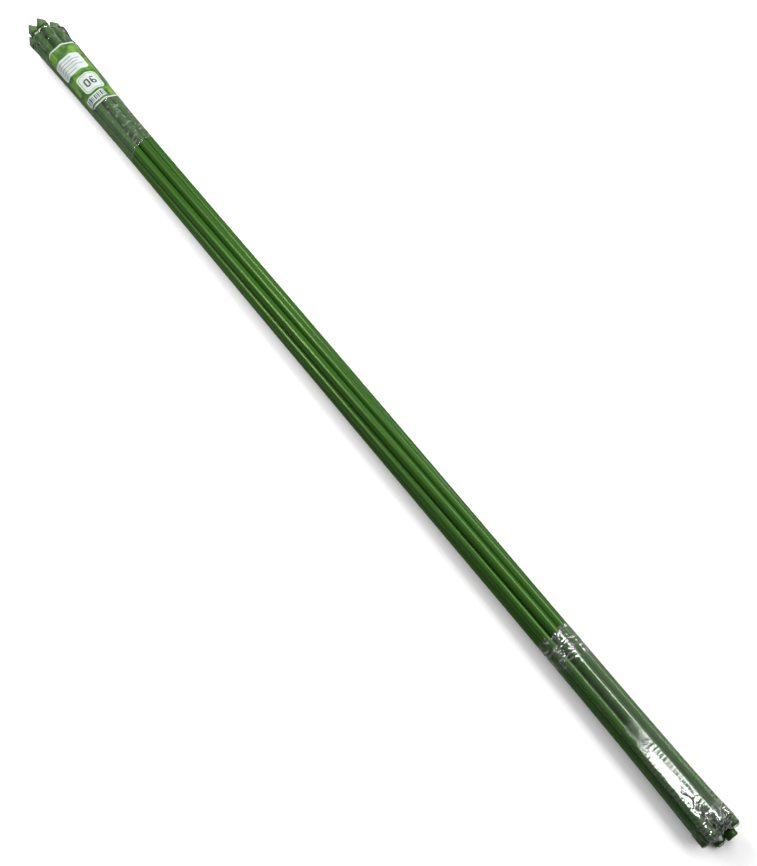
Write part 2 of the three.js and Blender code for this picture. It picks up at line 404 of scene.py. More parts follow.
@dataclass(frozen=True)
class DrawnSteel:
    """Bright drawn steel of the tubes inside the coats."""

    name: str = "drawn steel"
    tones: tuple[Colour, Colour] = ((0.42, 0.43, 0.44), (0.56, 0.57, 0.58))
    roughness: float = 0.32

    def build(self, groups: SharedGroups) -> Material:
        """Builds the material.

        Args:
            groups: The shared node groups.

        Returns:
            The material.
        """
        material, shader, bsdf = new_material(self.name)
        lines = shader.group(groups.streaks, Fineness=1400.0).outputs
        shader.fill(
            bsdf,
            Base_Color=shader.blend(lines["Band"], opaque(self.tones[0]), opaque(self.tones[1])),
            Metallic=1.0,
            Roughness=shader.math("MULTIPLY_ADD", lines["Line"], 0.2, self.roughness - 0.1),
            Normal=shader.bump(lines["Line"], 0.01 * MM),
        )
        return material


@dataclass(frozen=True)
class ShrinkFilm:
    """Clear shrink film: hard reflections, a faint haze with painted sheen, and creases that turn white,
    partly as real stress whitening and partly as painted glints.

    Its meshes carry, from 0 to 1, the attributes mist, which is real haze with painted sheen on the lit side,
    crease, which is white creases and painted glints, and shade, a painted shade at an edge.

    Args:
        name: The material's name.
        clear: Share of light that one face of the clearest film stops.
        mist_and_sheen_cover: How much more it stops where mist is full, for haze and painted sheen.
        crease_and_glint_cover: How much more it stops along white creases and painted glints.
        edge: How much more it stops where it is seen from the side.
        tones: The colours of its clear parts and of its white creases and painted glints, linear.
        edge_shade_tone: The colour of the painted shade at an edge, linear.
        relief: Depth of its small creases, in metres.
        index: Its refractive index, raised because the clear part's gloss is lost with its cover.
    """

    name: str
    clear: float = 0.012
    mist_and_sheen_cover: float = 0.13
    crease_and_glint_cover: float = 0.75
    edge: float = 0.08
    tones: tuple[Colour, Colour] = ((0.5, 0.52, 0.5), (0.78, 0.8, 0.78))
    edge_shade_tone: Colour = (0.02, 0.045, 0.015)
    relief: float = 0.02 * MM
    index: float = 2.3

    def build(self, groups: SharedGroups) -> Material:
        """Builds the material.

        Args:
            groups: The shared node groups.

        Returns:
            The material.
        """
        material, shader, bsdf = new_material(self.name)
        crumple = shader.group(groups.crumple, Crease_Scale=420.0).outputs
        mist, crease, shade = shader.attribute("mist"), shader.attribute("crease"), shader.attribute("shade")
        rim = shader.fill(shader.add("ShaderNodeLayerWeight"), Blend=0.3)
        tone = shader.blend(crease, opaque(self.tones[0]), opaque(self.tones[1]))
        spread = shader.math("MULTIPLY_ADD", crumple["Haze"], 0.05, 0.035)
        uneven = shader.math("MULTIPLY", mist, shader.math("MULTIPLY_ADD", crumple["Haze"], 0.6, 0.5))
        cover = shader.math("MULTIPLY_ADD", uneven, self.mist_and_sheen_cover, self.clear)
        cover = shader.math("MULTIPLY_ADD", shader.math("MAXIMUM", crease, shade), self.crease_and_glint_cover, cover)
        slant = shader.math("POWER", rim.outputs["Facing"], 2.0)
        shader.fill(
            bsdf,
            # Painted shade: the film darkens where the shade attribute marks its edge behind the tips.
            Base_Color=shader.blend(shade, tone, opaque(self.edge_shade_tone)),
            IOR=self.index,
            Specular_IOR_Level=1.0,
            Roughness=shader.math("MULTIPLY_ADD", shade, 0.4, spread),
            Alpha=shader.math("MULTIPLY_ADD", slant, self.edge, cover, clamp=True),
            Normal=shader.bump(crumple["Crease"], self.relief),
        )
        return material


class Ink(Enum):
    """The card's inks, linear."""

    WHITE = (0.8, 0.87, 0.86)
    DEEP = (0.03, 0.085, 0.02)
    GREY = (0.42, 0.48, 0.45)
    LEAF = (0.2, 0.46, 0.03)
    LIME = (0.32, 0.6, 0.1)


@dataclass(frozen=True)
class PrintedShape:
    """A rounded box printed on the card, in millimetres from the middle of the card's shown face.

    Args:
        ink: Its ink.
        centre: Its middle, across the poles and along them.
        half: Its half size, across and along.
        corner: The radius of its corners.
        line: How wide its line is, where only its outline is printed.
    """

    ink: Ink
    centre: tuple[float, float]
    half: tuple[float, float]
    corner: float = 0.0
    line: float = 100.0


def number_shapes(centre: tuple[float, float], height: float) -> list[PrintedShape]:
    """Draws the plain number 90, read from the pointed end.

    Args:
        centre: The number's middle.
        height: The height of its figures.

    Returns:
        The number's shapes.
    """
    stroke, wide, bowl = height * 0.17, height * 0.29, height * 0.28
    nine, nought = centre[0] + wide * 1.22, centre[0] - wide * 1.22
    top, foot, half = centre[1] + height / 2, centre[1] - height / 2, stroke / 2
    return [
        PrintedShape(Ink.DEEP, (nine, top - bowl), (wide, bowl), wide * 0.85, stroke),
        PrintedShape(Ink.DEEP, (nine - wide + half, centre[1]), (half, height * 0.3), half),
        PrintedShape(Ink.DEEP, (nine, foot + half), (wide * 0.75, half), half),
        PrintedShape(Ink.DEEP, (nought, centre[1]), (wide, height / 2), wide * 0.9, stroke),
    ]


@dataclass(frozen=True)
class PrintedCard:
    """Coated card with a leafy ground, a plain panel of rules, a badge with a number and a row of bars.

    Args:
        name: The material's name.
        ground: The leafy ground's two greens, linear.
        worn: The card's colour where its print is rubbed off, linear.
        scale: Size of one unit of the card's UV map, in millimetres.
    """

    name: str = "printed card"
    ground: tuple[Colour, Colour] = ((0.04, 0.16, 0.006), (0.15, 0.4, 0.02))
    worn: Colour = (0.7, 0.72, 0.7)
    scale: float = 100.0

    def shapes(self) -> list[PrintedShape]:
        """Lists what is printed, from the bottom up: border, leaves, panel, badge and bars."""
        shapes = [PrintedShape(Ink.WHITE, (4.0, 0.0), (21.8, 36.7), 6.6, 1.5)]
        leaves = ((9.5, -28, 4.5), (-9, -30, 5.5), (11, 7, 3.4), (-13, 12, 4.6), (12, 31, 3.6))
        for across, along, size in leaves:
            shapes.append(PrintedShape(Ink.LEAF, (across, along), (size * 0.5, size), size * 0.5))
        shapes.append(PrintedShape(Ink.WHITE, (-1.5, -13.5), (13.5, 10.0), 3.0))
        for rule, half in enumerate((8.0, 11.0, 9.5, 11.0, 7.0)):
            shapes.append(PrintedShape(Ink.GREY, (half - 12.5, -20.4 + 3.4 * rule), (half, 0.55), 0.4))
        badge = (2.5, 12.5)
        shapes.append(PrintedShape(Ink.WHITE, badge, (9.6, 10.2), 4.0))
        shapes.append(PrintedShape(Ink.LIME, badge, (8.4, 9.0), 3.2, 0.7))
        shapes += number_shapes(badge, 8.4)
        shapes.append(PrintedShape(Ink.WHITE, (-3.0, 29.0), (10.0, 3.9), 0.8))
        across = -11.5
        bars = ((0.9, 0.8), (0.5, 0.9), (1.3, 0.7), (0.6, 0.6), (0.5, 1.1), (1.2, 0.7), (0.6, 0.8))
        for width, space in bars * 2:
            shapes.append(PrintedShape(Ink.DEEP, (across + width / 2, 29.0), (width / 2, 2.7)))
            across += width + space
        return shapes

    def build(self, groups: SharedGroups) -> Material:
        """Builds the material.

        Args:
            groups: The shared node groups.

        Returns:
            The material.
        """
        material, shader, bsdf = new_material(self.name)
        chart = shader.add("ShaderNodeUVMap", uv_map="print").outputs["UV"]
        place = shader.fill(shader.add("ShaderNodeSeparateXYZ"), Vector=chart).outputs
        across, along = (shader.math("MULTIPLY", place[axis], self.scale) for axis in ("X", "Y"))
        leaf = shader.ramp(shader.cloud(chart, 9.0, 3.0, 0.6), 0.4, 0.62)
        tone = shader.blend(leaf, opaque(self.ground[0]), opaque(self.ground[1]))
        for shape in self.shapes():
            stamp = shader.group(
                groups.stamp,
                Across=across,
                Along=along,
                Middle_Across=shape.centre[0],
                Middle_Along=shape.centre[1],
                Half_Across=shape.half[0],
                Half_Along=shape.half[1],
                Corner=shape.corner,
                Line=shape.line,
            )
            tone = shader.blend(stamp.outputs["Mask"], tone, opaque(shape.ink.value))
        scuff = shader.group(groups.handling, Amount=0.2).outputs["Scuff"]
        fibre = shader.cloud(shader.place(), 2400.0, 2.0)
        shader.fill(
            bsdf,
            Base_Color=shader.blend(scuff, tone, opaque(self.worn)),
            Roughness=shader.math("MULTIPLY_ADD", fibre, 0.2, 0.4),
            Normal=shader.bump(fibre, 0.004 * MM),
            Specular_IOR_Level=0.3,
        )
        return material


@dataclass
class Finishes:
    """Every material of the object."""

    groups: SharedGroups = field(default_factory=SharedGroups)

    def __post_init__(self) -> None:
        """Builds the materials."""
        coat = MouldedPlastic("pole coat", (0.046, 0.145, 0.02), 0.26, 0.012 * MM, True, 0.5)
        tip = MouldedPlastic("ground tip", (0.135, 0.232, 0.095), 0.42, 0.01 * MM, False, 0.8)
        cap = MouldedPlastic("end cap", (0.04, 0.115, 0.014), 0.38, 0.01 * MM, False, 0.6)
        seam = ShrinkFilm("welded film", 0.3, tones=((0.14, 0.17, 0.13), (0.3, 0.33, 0.3)))
        self.coat = coat.build(self.groups)
        self.tip = tip.build(self.groups)
        self.cap = cap.build(self.groups)
        self.steel = DrawnSteel().build(self.groups)
        self.film = ShrinkFilm("shrink film").build(self.groups)
        self.seam = seam.build(self.groups)
        self.card = PrintedCard().build(self.groups)


# Meshes


def smoothstep(value: np.ndarray, low: float, high: float) -> np.ndarray:
    """Rises smoothly from 0 at low to 1 at high."""
    share = np.clip((value - low) / (high - low), 0.0, 1.0)
    return share * share * (3.0 - 2.0 * share)


def fades(value: np.ndarray, low: float, high: float) -> np.ndarray:
    """Falls smoothly from 1 at low to 0 at high."""
    return 1 - smoothstep(value, low, high)


def crowded(rows: int, crowding: float) -> np.ndarray:
    """Places rows from 0 to 1, closer at the end, or at the start where crowding is below 0."""
    along = np.linspace(0, 1, rows)[:, None]
    return (1 + crowding) * along - crowding * along * along


def add_object(name: str, mesh: Mesh, material: Material) -> Piece:
    """Puts a mesh in the scene.

    Args:
        name: The piece's name.
        mesh: Its mesh.
        material: Its finish.

    Returns:
        The object.
    """
    mesh.materials.clear()
    mesh.materials.append(material)
    piece = bpy.data.objects.new(name, mesh)
    bpy.context.scene.collection.objects.link(piece)
    return piece


def give_wall(piece: Piece, thickness: float, offset: float = -1.0) -> None:
    """Gives a skin its thickness, inwards or to both sides.

    Args:
        piece: The skin's object.
        thickness: The wall's thickness.
        offset: -1 for a wall inside the skin, 0 for one to both sides.
    """
    wall = piece.modifiers.new("wall", "SOLIDIFY")
    wall.thickness = thickness
    wall.offset = offset


def tie(piece: Piece, node: str) -> None:
    """Ties a piece to the frame, and reports it.

    Args:
        piece: The piece.
        node: The CAD node that it stands for.
    """
    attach(piece, BODY)
    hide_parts(node)
    log.info("%s: %d faces", piece.name, len(piece.data.polygons))


def face_out(mesh: Mesh, solid: bool = True) -> None:
    """Turns a mesh's faces out and shades it smooth.

    Args:
        mesh: The mesh, changed in place.
        solid: Whether it is a solid, whose doubles are merged and whose sharp edges stay sharp.
    """
    work = bmesh.new()
    work.from_mesh(mesh)
    if solid:
        bmesh.ops.remove_doubles(work, verts=work.verts, dist=MERGE_REACH)
    bmesh.ops.recalc_face_normals(work, faces=work.faces)
    work.to_mesh(mesh)
    work.free()
    mesh.polygons.foreach_set("use_smooth", [True] * len(mesh.polygons))
    if solid:
        mesh.set_sharp_from_angle(angle=SHARP_EDGE)


def grid_mesh(name: str, points: np.ndarray, closed_rows: bool) -> Mesh:
    """Makes a skin from a grid of points.

    Args:
        name: The mesh's name.
        points: An array of rows, columns and x, y, z.
        closed_rows: Whether each row closes on itself.

    Returns:
        The mesh.
    """
    rows, columns = points.shape[:2]
    spans = columns if closed_rows else columns - 1
    row, column = np.meshgrid(np.arange(rows - 1), np.arange(spans), indexing="ij")
    here, there = row * columns + column, row * columns + (column + 1) % columns
    faces = np.stack([here, there, there + columns, here + columns], -1).reshape(-1, 4)
    mesh = bpy.data.meshes.new(name)
    mesh.from_pydata(points.reshape(-1, 3).tolist(), [], faces.tolist())
    mesh.update()
    return mesh


def rounded(outline: Sequence[Corner], steps: int = 5) -> list[tuple[float, float]]:
    """Rounds the corners of an open outline.

    Args:
        outline: Its corners, with a radius of 0 for a sharp one.
        steps: How many spans a round has.

    Returns:
        The outline's points.
    """
    points = []
    for place, (*corner, radius) in enumerate(outline):
        here = Vector(corner)
        if radius <= 0:
            points.append(tuple(here))
            continue
        back = (Vector(outline[place - 1][:2]) - here).normalized()
        ahead = (Vector(outline[place + 1][:2]) - here).normalized()
        half = back.angle(ahead) / 2
        centre = here + (back + ahead).normalized() * (radius / math.sin(half))
        start = (here + back * (radius / math.tan(half)) - centre).normalized()
        end = (here + ahead * (radius / math.tan(half)) - centre).normalized()
        for step in range(steps + 1):
            points.append(tuple(centre + start.slerp(end, step / steps) * radius))
    return points


def turned_mesh(name: str, profile: Sequence[tuple[float, float]], stand: Matrix, sides: int = 48) -> Mesh:
    """Revolves a profile that starts and ends on the axis.

    Args:
        name: The mesh's name.
        profile: Points of distance from the axis and place along it.
        stand: Where the piece stands. Its own axis is Z.
        sides: How many sides it has.

    Returns:
        The closed mesh.
    """
    outline = np.array(profile)
    angles = np.arange(sides) * 2.0 * math.pi / sides
    points = np.zeros((len(outline), sides, 3))
    points[..., :2] = outline[:, None, :1] * np.stack([np.cos(angles), np.sin(angles)], -1)
    points[..., 2] = outline[:, None, 1]
    mesh = grid_mesh(name, points, True)
    face_out(mesh)
    mesh.transform(stand)
    return mesh


# The bundle's form


@dataclass
class BundleForm:
    """Where the poles run: a ring that twists and opens towards both ends, round an inner pole."""

    ring_poles: int = 8
    pole_length: float = 900 * MM
    coat_radius: float = 4 * MM
    tip_radius: float = 4.8 * MM
    cap_radius: float = 4.7 * MM
    tip_length: float = 12 * MM
    cap_length: float = 11 * MM
    stagger: float = 13 * MM
    waist_gap: float = 0.06 * MM
    cap_gap: float = 0.1 * MM
    twist: float = math.radians(45)
    roll: float = math.radians(71)
    spread_power: int = 6

    def __post_init__(self) -> None:
        """Works out the ring's radii, and takes the bundle's place from the frame."""
        self.step = 2.0 * math.pi / self.ring_poles
        chord = 1.0 / (2.0 * math.sin(self.step / 2))
        self.waist_radius = (2 * self.coat_radius + self.waist_gap) * chord
        self.end_radius = (2 * self.cap_radius + self.cap_gap) * chord
        self.inner_drop = self.waist_radius - 2 * self.coat_radius - self.waist_gap
        self.half = (self.pole_length + self.stagger) / 2
        self.spread_half = self.half - self.stagger - self.tip_length
        poles = range(1, self.ring_poles + 2)
        self.noses = [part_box(f"pole_{pole}_ground_tip")[0].x for pole in poles]
        self.middle = min(self.noses) + self.half
        low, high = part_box(f"pole_{self.ring_poles + 1}_coat")
        self.height = (low.z + high.z) / 2 + self.inner_drop

    def angle(self, pole: object, x: np.ndarray) -> np.ndarray:
        """Angle of ring poles from straight up towards +Y.

        Args:
            pole: Index of a pole, or an array of them.
            x: Places along the bundle.

        Returns:
            The angles.
        """
        turn = np.sin(math.pi / 2 * (x - self.middle) / self.half) * self.twist / 2
        return self.roll + turn - pole * self.step

    def centre(self, pole: object, x: np.ndarray) -> np.ndarray:
        """Centres of poles.

        Args:
            pole: Index of a pole, or an array of them; the last one is the inner pole.
            x: Places along the bundle.

        Returns:
            Points, one for each x.
        """
        spread = np.minimum(np.abs((x - self.middle) / self.spread_half), 1.0) ** self.spread_power
        radius = self.waist_radius + (self.end_radius - self.waist_radius) * spread
        angle = self.angle(pole, x)
        inner = np.asarray(pole) >= self.ring_poles
        y = np.where(inner, 0.0, radius * np.sin(angle))
        z = np.where(inner, -self.inner_drop, radius * np.cos(angle))
        return np.stack([x + 0 * angle, y, z + self.height], -1)

    def stand(self, pole: int, x: float, facing: float) -> Matrix:
        """Placement of a turned piece whose mouth is at x.

        Args:
            pole: The pole's index.
            x: Where the mouth is.
            facing: 1 for a piece that points to +X, -1 for one that points to -X.

        Returns:
            The placement, with the piece's axis on Z.
        """
        reach = np.array([-self.coat_radius, 0.0, self.coat_radius])
        before, here, after = self.centre(pole, x + reach)
        axis = Vector(after - before).normalized() * facing
        turn = Vector((0, 0, 1)).rotation_difference(axis).to_matrix().to_4x4()
        return Matrix.Translation(Vector(here)) @ turn

    def nose(self, pole: int) -> float:
        """Place of a pole's nose along X."""
        return self.noses[pole]

    def end(self, pole: int) -> float:
        """Place of a pole's cap end along X."""
        return self.noses[pole] + self.pole_length


# Geometry Nodes


def swept_tree() -> Tree:
    """Makes the tree that sweeps a round section along a line of edges.

    Returns:
        A tree with inputs Radius, Sides and Finish.
    """
    tree = bpy.data.node_groups.new("swept round", "GeometryNodeTree")
    inputs = {"Geometry": "Geometry", "Radius": "Float", "Sides": "Int", "Finish": "Material"}
    for name, kind in inputs.items():
        tree.interface.new_socket(name, in_out="INPUT", socket_type=f"NodeSocket{kind}")
    tree.interface.new_socket("Geometry", in_out="OUTPUT", socket_type="NodeSocketGeometry")
    wiring = Shader(tree)
    given = wiring.add("NodeGroupInput").outputs
    line = wiring.fill(wiring.add("GeometryNodeMeshToCurve"), Mesh=given["Geometry"]).outputs["Curve"]
    section = wiring.add("GeometryNodeCurvePrimitiveCircle", mode="RADIUS")
    wiring.fill(section, Resolution=given["Sides"], Radius=given["Radius"])
    sweep = wiring.add("GeometryNodeCurveToMesh")
    skin = wiring.fill(sweep, Curve=line, Profile_Curve=section.outputs["Curve"]).outputs["Mesh"]
    for kind in ("GeometryNodeSetShadeSmooth", "GeometryNodeRealizeInstances", "GeometryNodeSetMaterial"):
        node = wiring.fill(wiring.add(kind), Geometry=skin)
        skin = node.outputs["Geometry"]
    wiring.fill(node, Material=given["Finish"])
    wiring.fill(wiring.add("NodeGroupOutput"), Geometry=skin)
    return tree


def grown_mesh(name: str, seed_mesh: Mesh, tree: Tree, **inputs: object) -> Mesh:
    """Runs a Geometry Nodes tree on a mesh and gives its result as a plain mesh.

    Args:
        name: The result's name.
        seed_mesh: The mesh that the tree starts from.
        tree: The tree.
        inputs: Its inputs by name, with spaces written as underscores.

    Returns:
        The plain mesh.
    """
    carrier = bpy.data.objects.new(f"{name}_start", seed_mesh)
    bpy.context.scene.collection.objects.link(carrier)
    modifier = carrier.modifiers.new("grow", "NODES")
    modifier.node_group = tree
    for item in tree.interface.items_tree:
        key = item.name.replace(" ", "_")
        if item.in_out == "INPUT" and key in inputs:
            modifier[item.identifier] = inputs[key]
    carrier.update_tag()
    view = bpy.context.evaluated_depsgraph_get()
    mesh = bpy.data.meshes.new_from_object(carrier.evaluated_get(view), depsgraph=view)
    mesh.name = name
    carrier.modifiers.remove(modifier)
    bpy.data.objects.remove(carrier)
    return mesh


# The poles


@dataclass
class SupportPole:
    """One pole: a coat on a steel tube, a pointed ground tip and a round end cap.

    Args:
        form: The bundle's form.
        index: The pole's index, of which the last one is the inner pole's.
        groove: Where the tip's groove starts, is deep, stops being deep and ends, from its mouth.
    """

    form: BundleForm
    index: int
    wall: float = 0.6 * MM
    socket_clearance: float = 0.15 * MM
    tip_socket: float = 5 * MM
    tip_rim: float = 4.8 * MM
    tip_nose: float = 1.1 * MM
    groove: tuple[float, ...] = (0.4 * MM, 0.6 * MM, 1.7 * MM, 2.0 * MM)
    groove_depth: float = 0.2 * MM
    groove_round: float = 0.1 * MM
    cap_socket: float = 8.4 * MM
    cap_edge: float = 1.2 * MM
    cap_draft: float = 0.12 * MM
    cap_dish: tuple[float, float] = (1.1 * MM, 0.3 * MM)
    steps: int = 150
    sides: int = 40

    @property
    def name(self) -> str:
        """The pole's name, as the frame's nodes have it."""
        return f"pole_{self.index + 1}"

    def coat(self, tree: Tree, finish: Material) -> Piece:
        """Sweeps the coat along the pole's line.

        Args:
            tree: The tree that sweeps a round section.
            finish: The coat's material.

        Returns:
            The coat.
        """
        low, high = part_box(f"{self.name}_coat")
        share = (1 - np.cos(np.linspace(0, math.pi, self.steps + 1))) / 2
        line = self.form.centre(self.index, low.x + (high.x - low.x) * share)
        seed_mesh = bpy.data.meshes.new(f"{self.name}_line")
        seed_mesh.from_pydata(line.tolist(), [(step, step + 1) for step in range(self.steps)], [])
        sizes = {"Radius": self.form.coat_radius, "Sides": self.sides}
        mesh = grown_mesh(f"{self.name}_coat_skin", seed_mesh, tree, Finish=finish, **sizes)
        face_out(mesh)
        piece = add_object(mesh.name, mesh, finish)
        give_wall(piece, self.wall)
        return piece

    def moulding(self, kind: str, depth: float, shape: list[Corner], stand: Matrix) -> Mesh:
        """Turns a tip or a cap, with the socket that takes the coat.

        Args:
            kind: What it is, for its name.
            depth: How deep the socket is.
            shape: The corners of its outside, from its mouth on.
            stand: Where it stands.

        Returns:
            The closed mesh.
        """
        socket = self.form.coat_radius + self.socket_clearance
        inside = [(0, depth, 0), (socket, depth, 0), (socket, 0, 0)]
        return turned_mesh(f"{self.name}_{kind}_moulding", rounded(inside + shape), stand)

    def ground_tip(self) -> Mesh:
        """Turns the pointed tip: a socket, a groove behind its lip, a rim and a blunt point."""
        radius, length, nose = self.form.tip_radius, self.form.tip_length, self.tip_nose
        deep, turn = radius - self.groove_depth, self.groove_round
        shape = [
            (radius, 0, 0.15 * MM),
            (radius, self.groove[0], turn),
            (deep, self.groove[1], turn),
            (deep, self.groove[2], turn),
            (radius, self.groove[3], turn),
            (radius, self.tip_rim, 0.3 * MM),
            (radius - 0.5 * MM, self.tip_rim + 0.7 * MM, 0.5 * MM),
            (nose * 0.92, length - nose * 0.35, 0.8 * MM),
            (0, length, 0),
        ]
        stand = self.form.stand(self.index, self.form.nose(self.index) + length, -1)
        return self.moulding("tip", self.tip_socket, shape, stand)

    def end_cap(self) -> Mesh:
        """Turns the cap: a socket, a soft lip, a slight draft and a dished round end."""
        radius, length = self.form.cap_radius, self.form.cap_length
        dish, depth = self.cap_dish
        shape = [
            (radius, 0, 0.3 * MM),
            (radius - self.cap_draft, length, self.cap_edge),
            (dish, length, 0.15 * MM),
            (dish - 0.4 * MM, length - depth, 0.15 * MM),
            (0, length - depth, 0),
        ]
        stand = self.form.stand(self.index, self.form.end(self.index) - length, 1)
        return self.moulding("cap", self.cap_socket, shape, stand)

    def dress(self, tree: Tree, finishes: Finishes) -> None:
        """Makes the pole's pieces and ties them to the frame.

        Args:
            tree: The tree that sweeps a round section.
            finishes: The materials.
        """
        tie(self.coat(tree, finishes.coat), f"{self.name}_coat")
        tip, cap = self.ground_tip(), self.end_cap()
        tie(add_object(tip.name, tip, finishes.tip), f"{self.name}_ground_tip")
        tie(add_object(cap.name, cap, finishes.cap), f"{self.name}_end_cap")
        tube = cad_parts[f"{self.name}_steel_tube"]
        tube.data.materials.clear()
        tube.data.materials.append(finishes.steel)


# The skin round the ring


@dataclass
class RingSkin:
    """Columns of a sheet drawn round the ring: arcs on the poles' crowns and flats between them."""

    form: BundleForm
    columns: Sequence[Column] = ()
    arc_spans: int = 6
    flat_spans: int = 10

    def __post_init__(self) -> None:
        """Lists the columns of the whole ring where none are given, and their places round it."""
        if not self.columns:
            self.columns = [column for pole in range(self.form.ring_poles) for column in self.span(pole)]
        table = np.array(self.columns)
        self.pole = table[:, 0].astype(int)
        self.next_pole = (self.pole + 1) % self.form.ring_poles
        self.lean, self.share = table[:, 1], table[:, 2]
        self.between = np.sin(math.pi * self.share)
        lean = self.lean / (self.form.step / 2)
        self.crown = np.where(self.share > 0, 0.0, np.cos(np.clip(lean, -1, 1) * math.pi / 2))
        across = np.full((1, len(table)), self.form.middle)
        taut = self.points(across, np.full(across.shape, self.form.coat_radius), 0.0)[0]
        steps = np.linalg.norm(np.diff(taut, axis=0), axis=-1)
        self.girth = np.concatenate([[0.0], np.cumsum(steps)])

    def arc(self, pole: int, start: float, end: float) -> list[Column]:
        """Columns of an arc on a pole, whose ends are shares of its lean to either side."""
        lean = self.form.step / 2
        return [(pole, lean * turn, 0.0) for turn in np.linspace(start, end, self.arc_spans + 1)]

    def flat(self, pole: int, end: float) -> list[Column]:
        """Columns of the flat from a pole towards the next one, up to a share of the way."""
        return [(pole, -self.form.step / 2, share) for share in np.linspace(0.0, end, self.flat_spans + 1)]

    def span(self, pole: int, start: float = 1.0) -> list[Column]:
        """Columns of a pole's arc, from a share of its lean, and of the flat up to the next pole."""
        return self.arc(pole, start, -1.0)[:-1] + self.flat(pole, 1.0)[:-1]

    def per_column(self, values: Sequence[float]) -> np.ndarray:
        """Spreads one value for each ring pole over the columns.

        Args:
            values: One value for each pole.

        Returns:
            One value for each column, smooth between two poles.
        """
        table = np.asarray(values)
        share = smoothstep(self.share, 0.0, 1.0)
        return table[self.pole] * (1 - share) + table[self.next_pole] * share

    def points(self, x: np.ndarray, reach: np.ndarray, lift: np.ndarray) -> np.ndarray:
        """Places the sheet.

        Args:
            x: Place along the bundle for each row and column.
            reach: Distance from the poles' lines, likewise.
            lift: How far the sheet stands off its taut place, likewise.

        Returns:
            Points by row and column.
        """
        angle = self.form.angle(self.pole, x) + self.lean
        out = np.stack([0 * angle, np.sin(angle), np.cos(angle)], -1)
        start = self.form.centre(self.pole, x)
        end = self.form.centre(self.next_pole, x)
        share = self.share[None, :, None]
        return start * (1 - share) + end * share + out * (reach + lift)[..., None]


def field_noise(points: np.ndarray, scale: Sequence[float], seed: float) -> np.ndarray:
    """Samples smooth noise on points.

    Args:
        points: An array whose last axis is x, y, z.
        scale: Cells per metre along x, y and z.
        seed: Moves the pattern.

    Returns:
        Values from about -1 to 1.
    """
    places = points.reshape(-1, 3) * np.array(scale) + seed
    values = [noise.noise(Vector(place)) for place in places]
    return np.array(values).reshape(points.shape[:-1])


@dataclass(frozen=True)
class FilmMark:
    """A kind of mark in the film.

    Args:
        high: How far it lifts the film, in millimetres.
        white: How white it turns the film, as real stress whitening and as painted glints.
        seed: Moves its pattern.
    """

    high: float
    white: float
    seed: int

    def noise(self, places: np.ndarray, cells: Sequence[float], shift: float = 0.0) -> np.ndarray:
        """Samples the mark's own noise, with so many cells per metre."""
        return field_noise(places, cells, SEED + self.seed + shift)


@dataclass(frozen=True)
class Ridges(FilmMark):
    """Short ridges across the poles, spaced unevenly and stronger in places.

    Args:
        spacing: From one ridge to the next.
        width: How wide a ridge is, as a share of the spacing.
        least: How strong the weakest ridges are.
        sway: How far a ridge strays, in spacings.
    """

    spacing: float
    width: float
    least: float = 0.0
    sway: float = 1.6

    def drawn(self, places: np.ndarray) -> np.ndarray:
        """Says how far each place is up a ridge, from 0 to 1."""
        phase = places[..., 0] / self.spacing + self.sway * self.noise(places, (70, 80, 80))
        from_ridge = 2 * np.abs(phase - np.round(phase))
        strength = smoothstep(self.noise(places, (160, 110, 110), 0.5), -0.3, 0.3)
        rise = 0.5 - 0.5 * np.cos(math.pi * np.clip(1 - from_ridge / self.width, 0.0, 1.0))
        return (self.least + (1 - self.least) * strength) * rise


@dataclass(frozen=True)
class Creases(FilmMark):
    """Thin wandering creases, where smooth noise crosses zero.

    Args:
        cells: The noise's cells per metre.
        width: How wide a crease is, as a share of a cell.
    """

    cells: tuple[float, ...]
    width: float

    def drawn(self, places: np.ndarray) -> np.ndarray:
        """Says how far each place is on one of its creases, from 0 to 1."""
        return np.clip(1 - np.abs(self.noise(places, self.cells)) / self.width, 0.0, 1.0)


@dataclass(frozen=True)
class Patches(FilmMark):
    """Soft patches, where smooth noise is high.

    Args:
        cells: The noise's cells per metre.
        levels: The noise at which a patch starts, and at which it is full.
    """

    cells: tuple[float, ...]
    levels: tuple[float, float]

    def drawn(self, places: np.ndarray) -> np.ndarray:
        """Says how far each place is in a patch, from 0 to 1."""
        return smoothstep(self.noise(places, self.cells), *self.levels)


def summed(marks: Sequence[tuple[FilmMark, np.ndarray]]) -> tuple[np.ndarray, np.ndarray]:
    """Adds up marks.

    Args:
        marks: Each mark and how far it shows at each point.

    Returns:
        How far the film is lifted at each point, and how white it is there.
    """
    high = sum(mark.high * shown for mark, shown in marks)
    return high * MM, sum(mark.white * shown for mark, shown in marks)


@dataclass
class LaidFilm:
    """Film laid taut on the bundle, by row and column.

    Args:
        skin: Its columns.
        x: Places along the bundle.
        reach: Distances from the poles' lines.
        from_start: Distances from its edge at -X.
        to_end: Distances to its edge at +X.
    """

    skin: RingSkin
    x: np.ndarray
    reach: np.ndarray
    from_start: np.ndarray
    to_end: np.ndarray

    def __post_init__(self) -> None:
        """Works out the taut film's points."""
        self.taut = self.lifted(0 * self.x)

    def lifted(self, lift: np.ndarray) -> np.ndarray:
        """Gives the film's points where it is lifted off its taut place."""
        return self.skin.points(self.x, self.reach, lift)


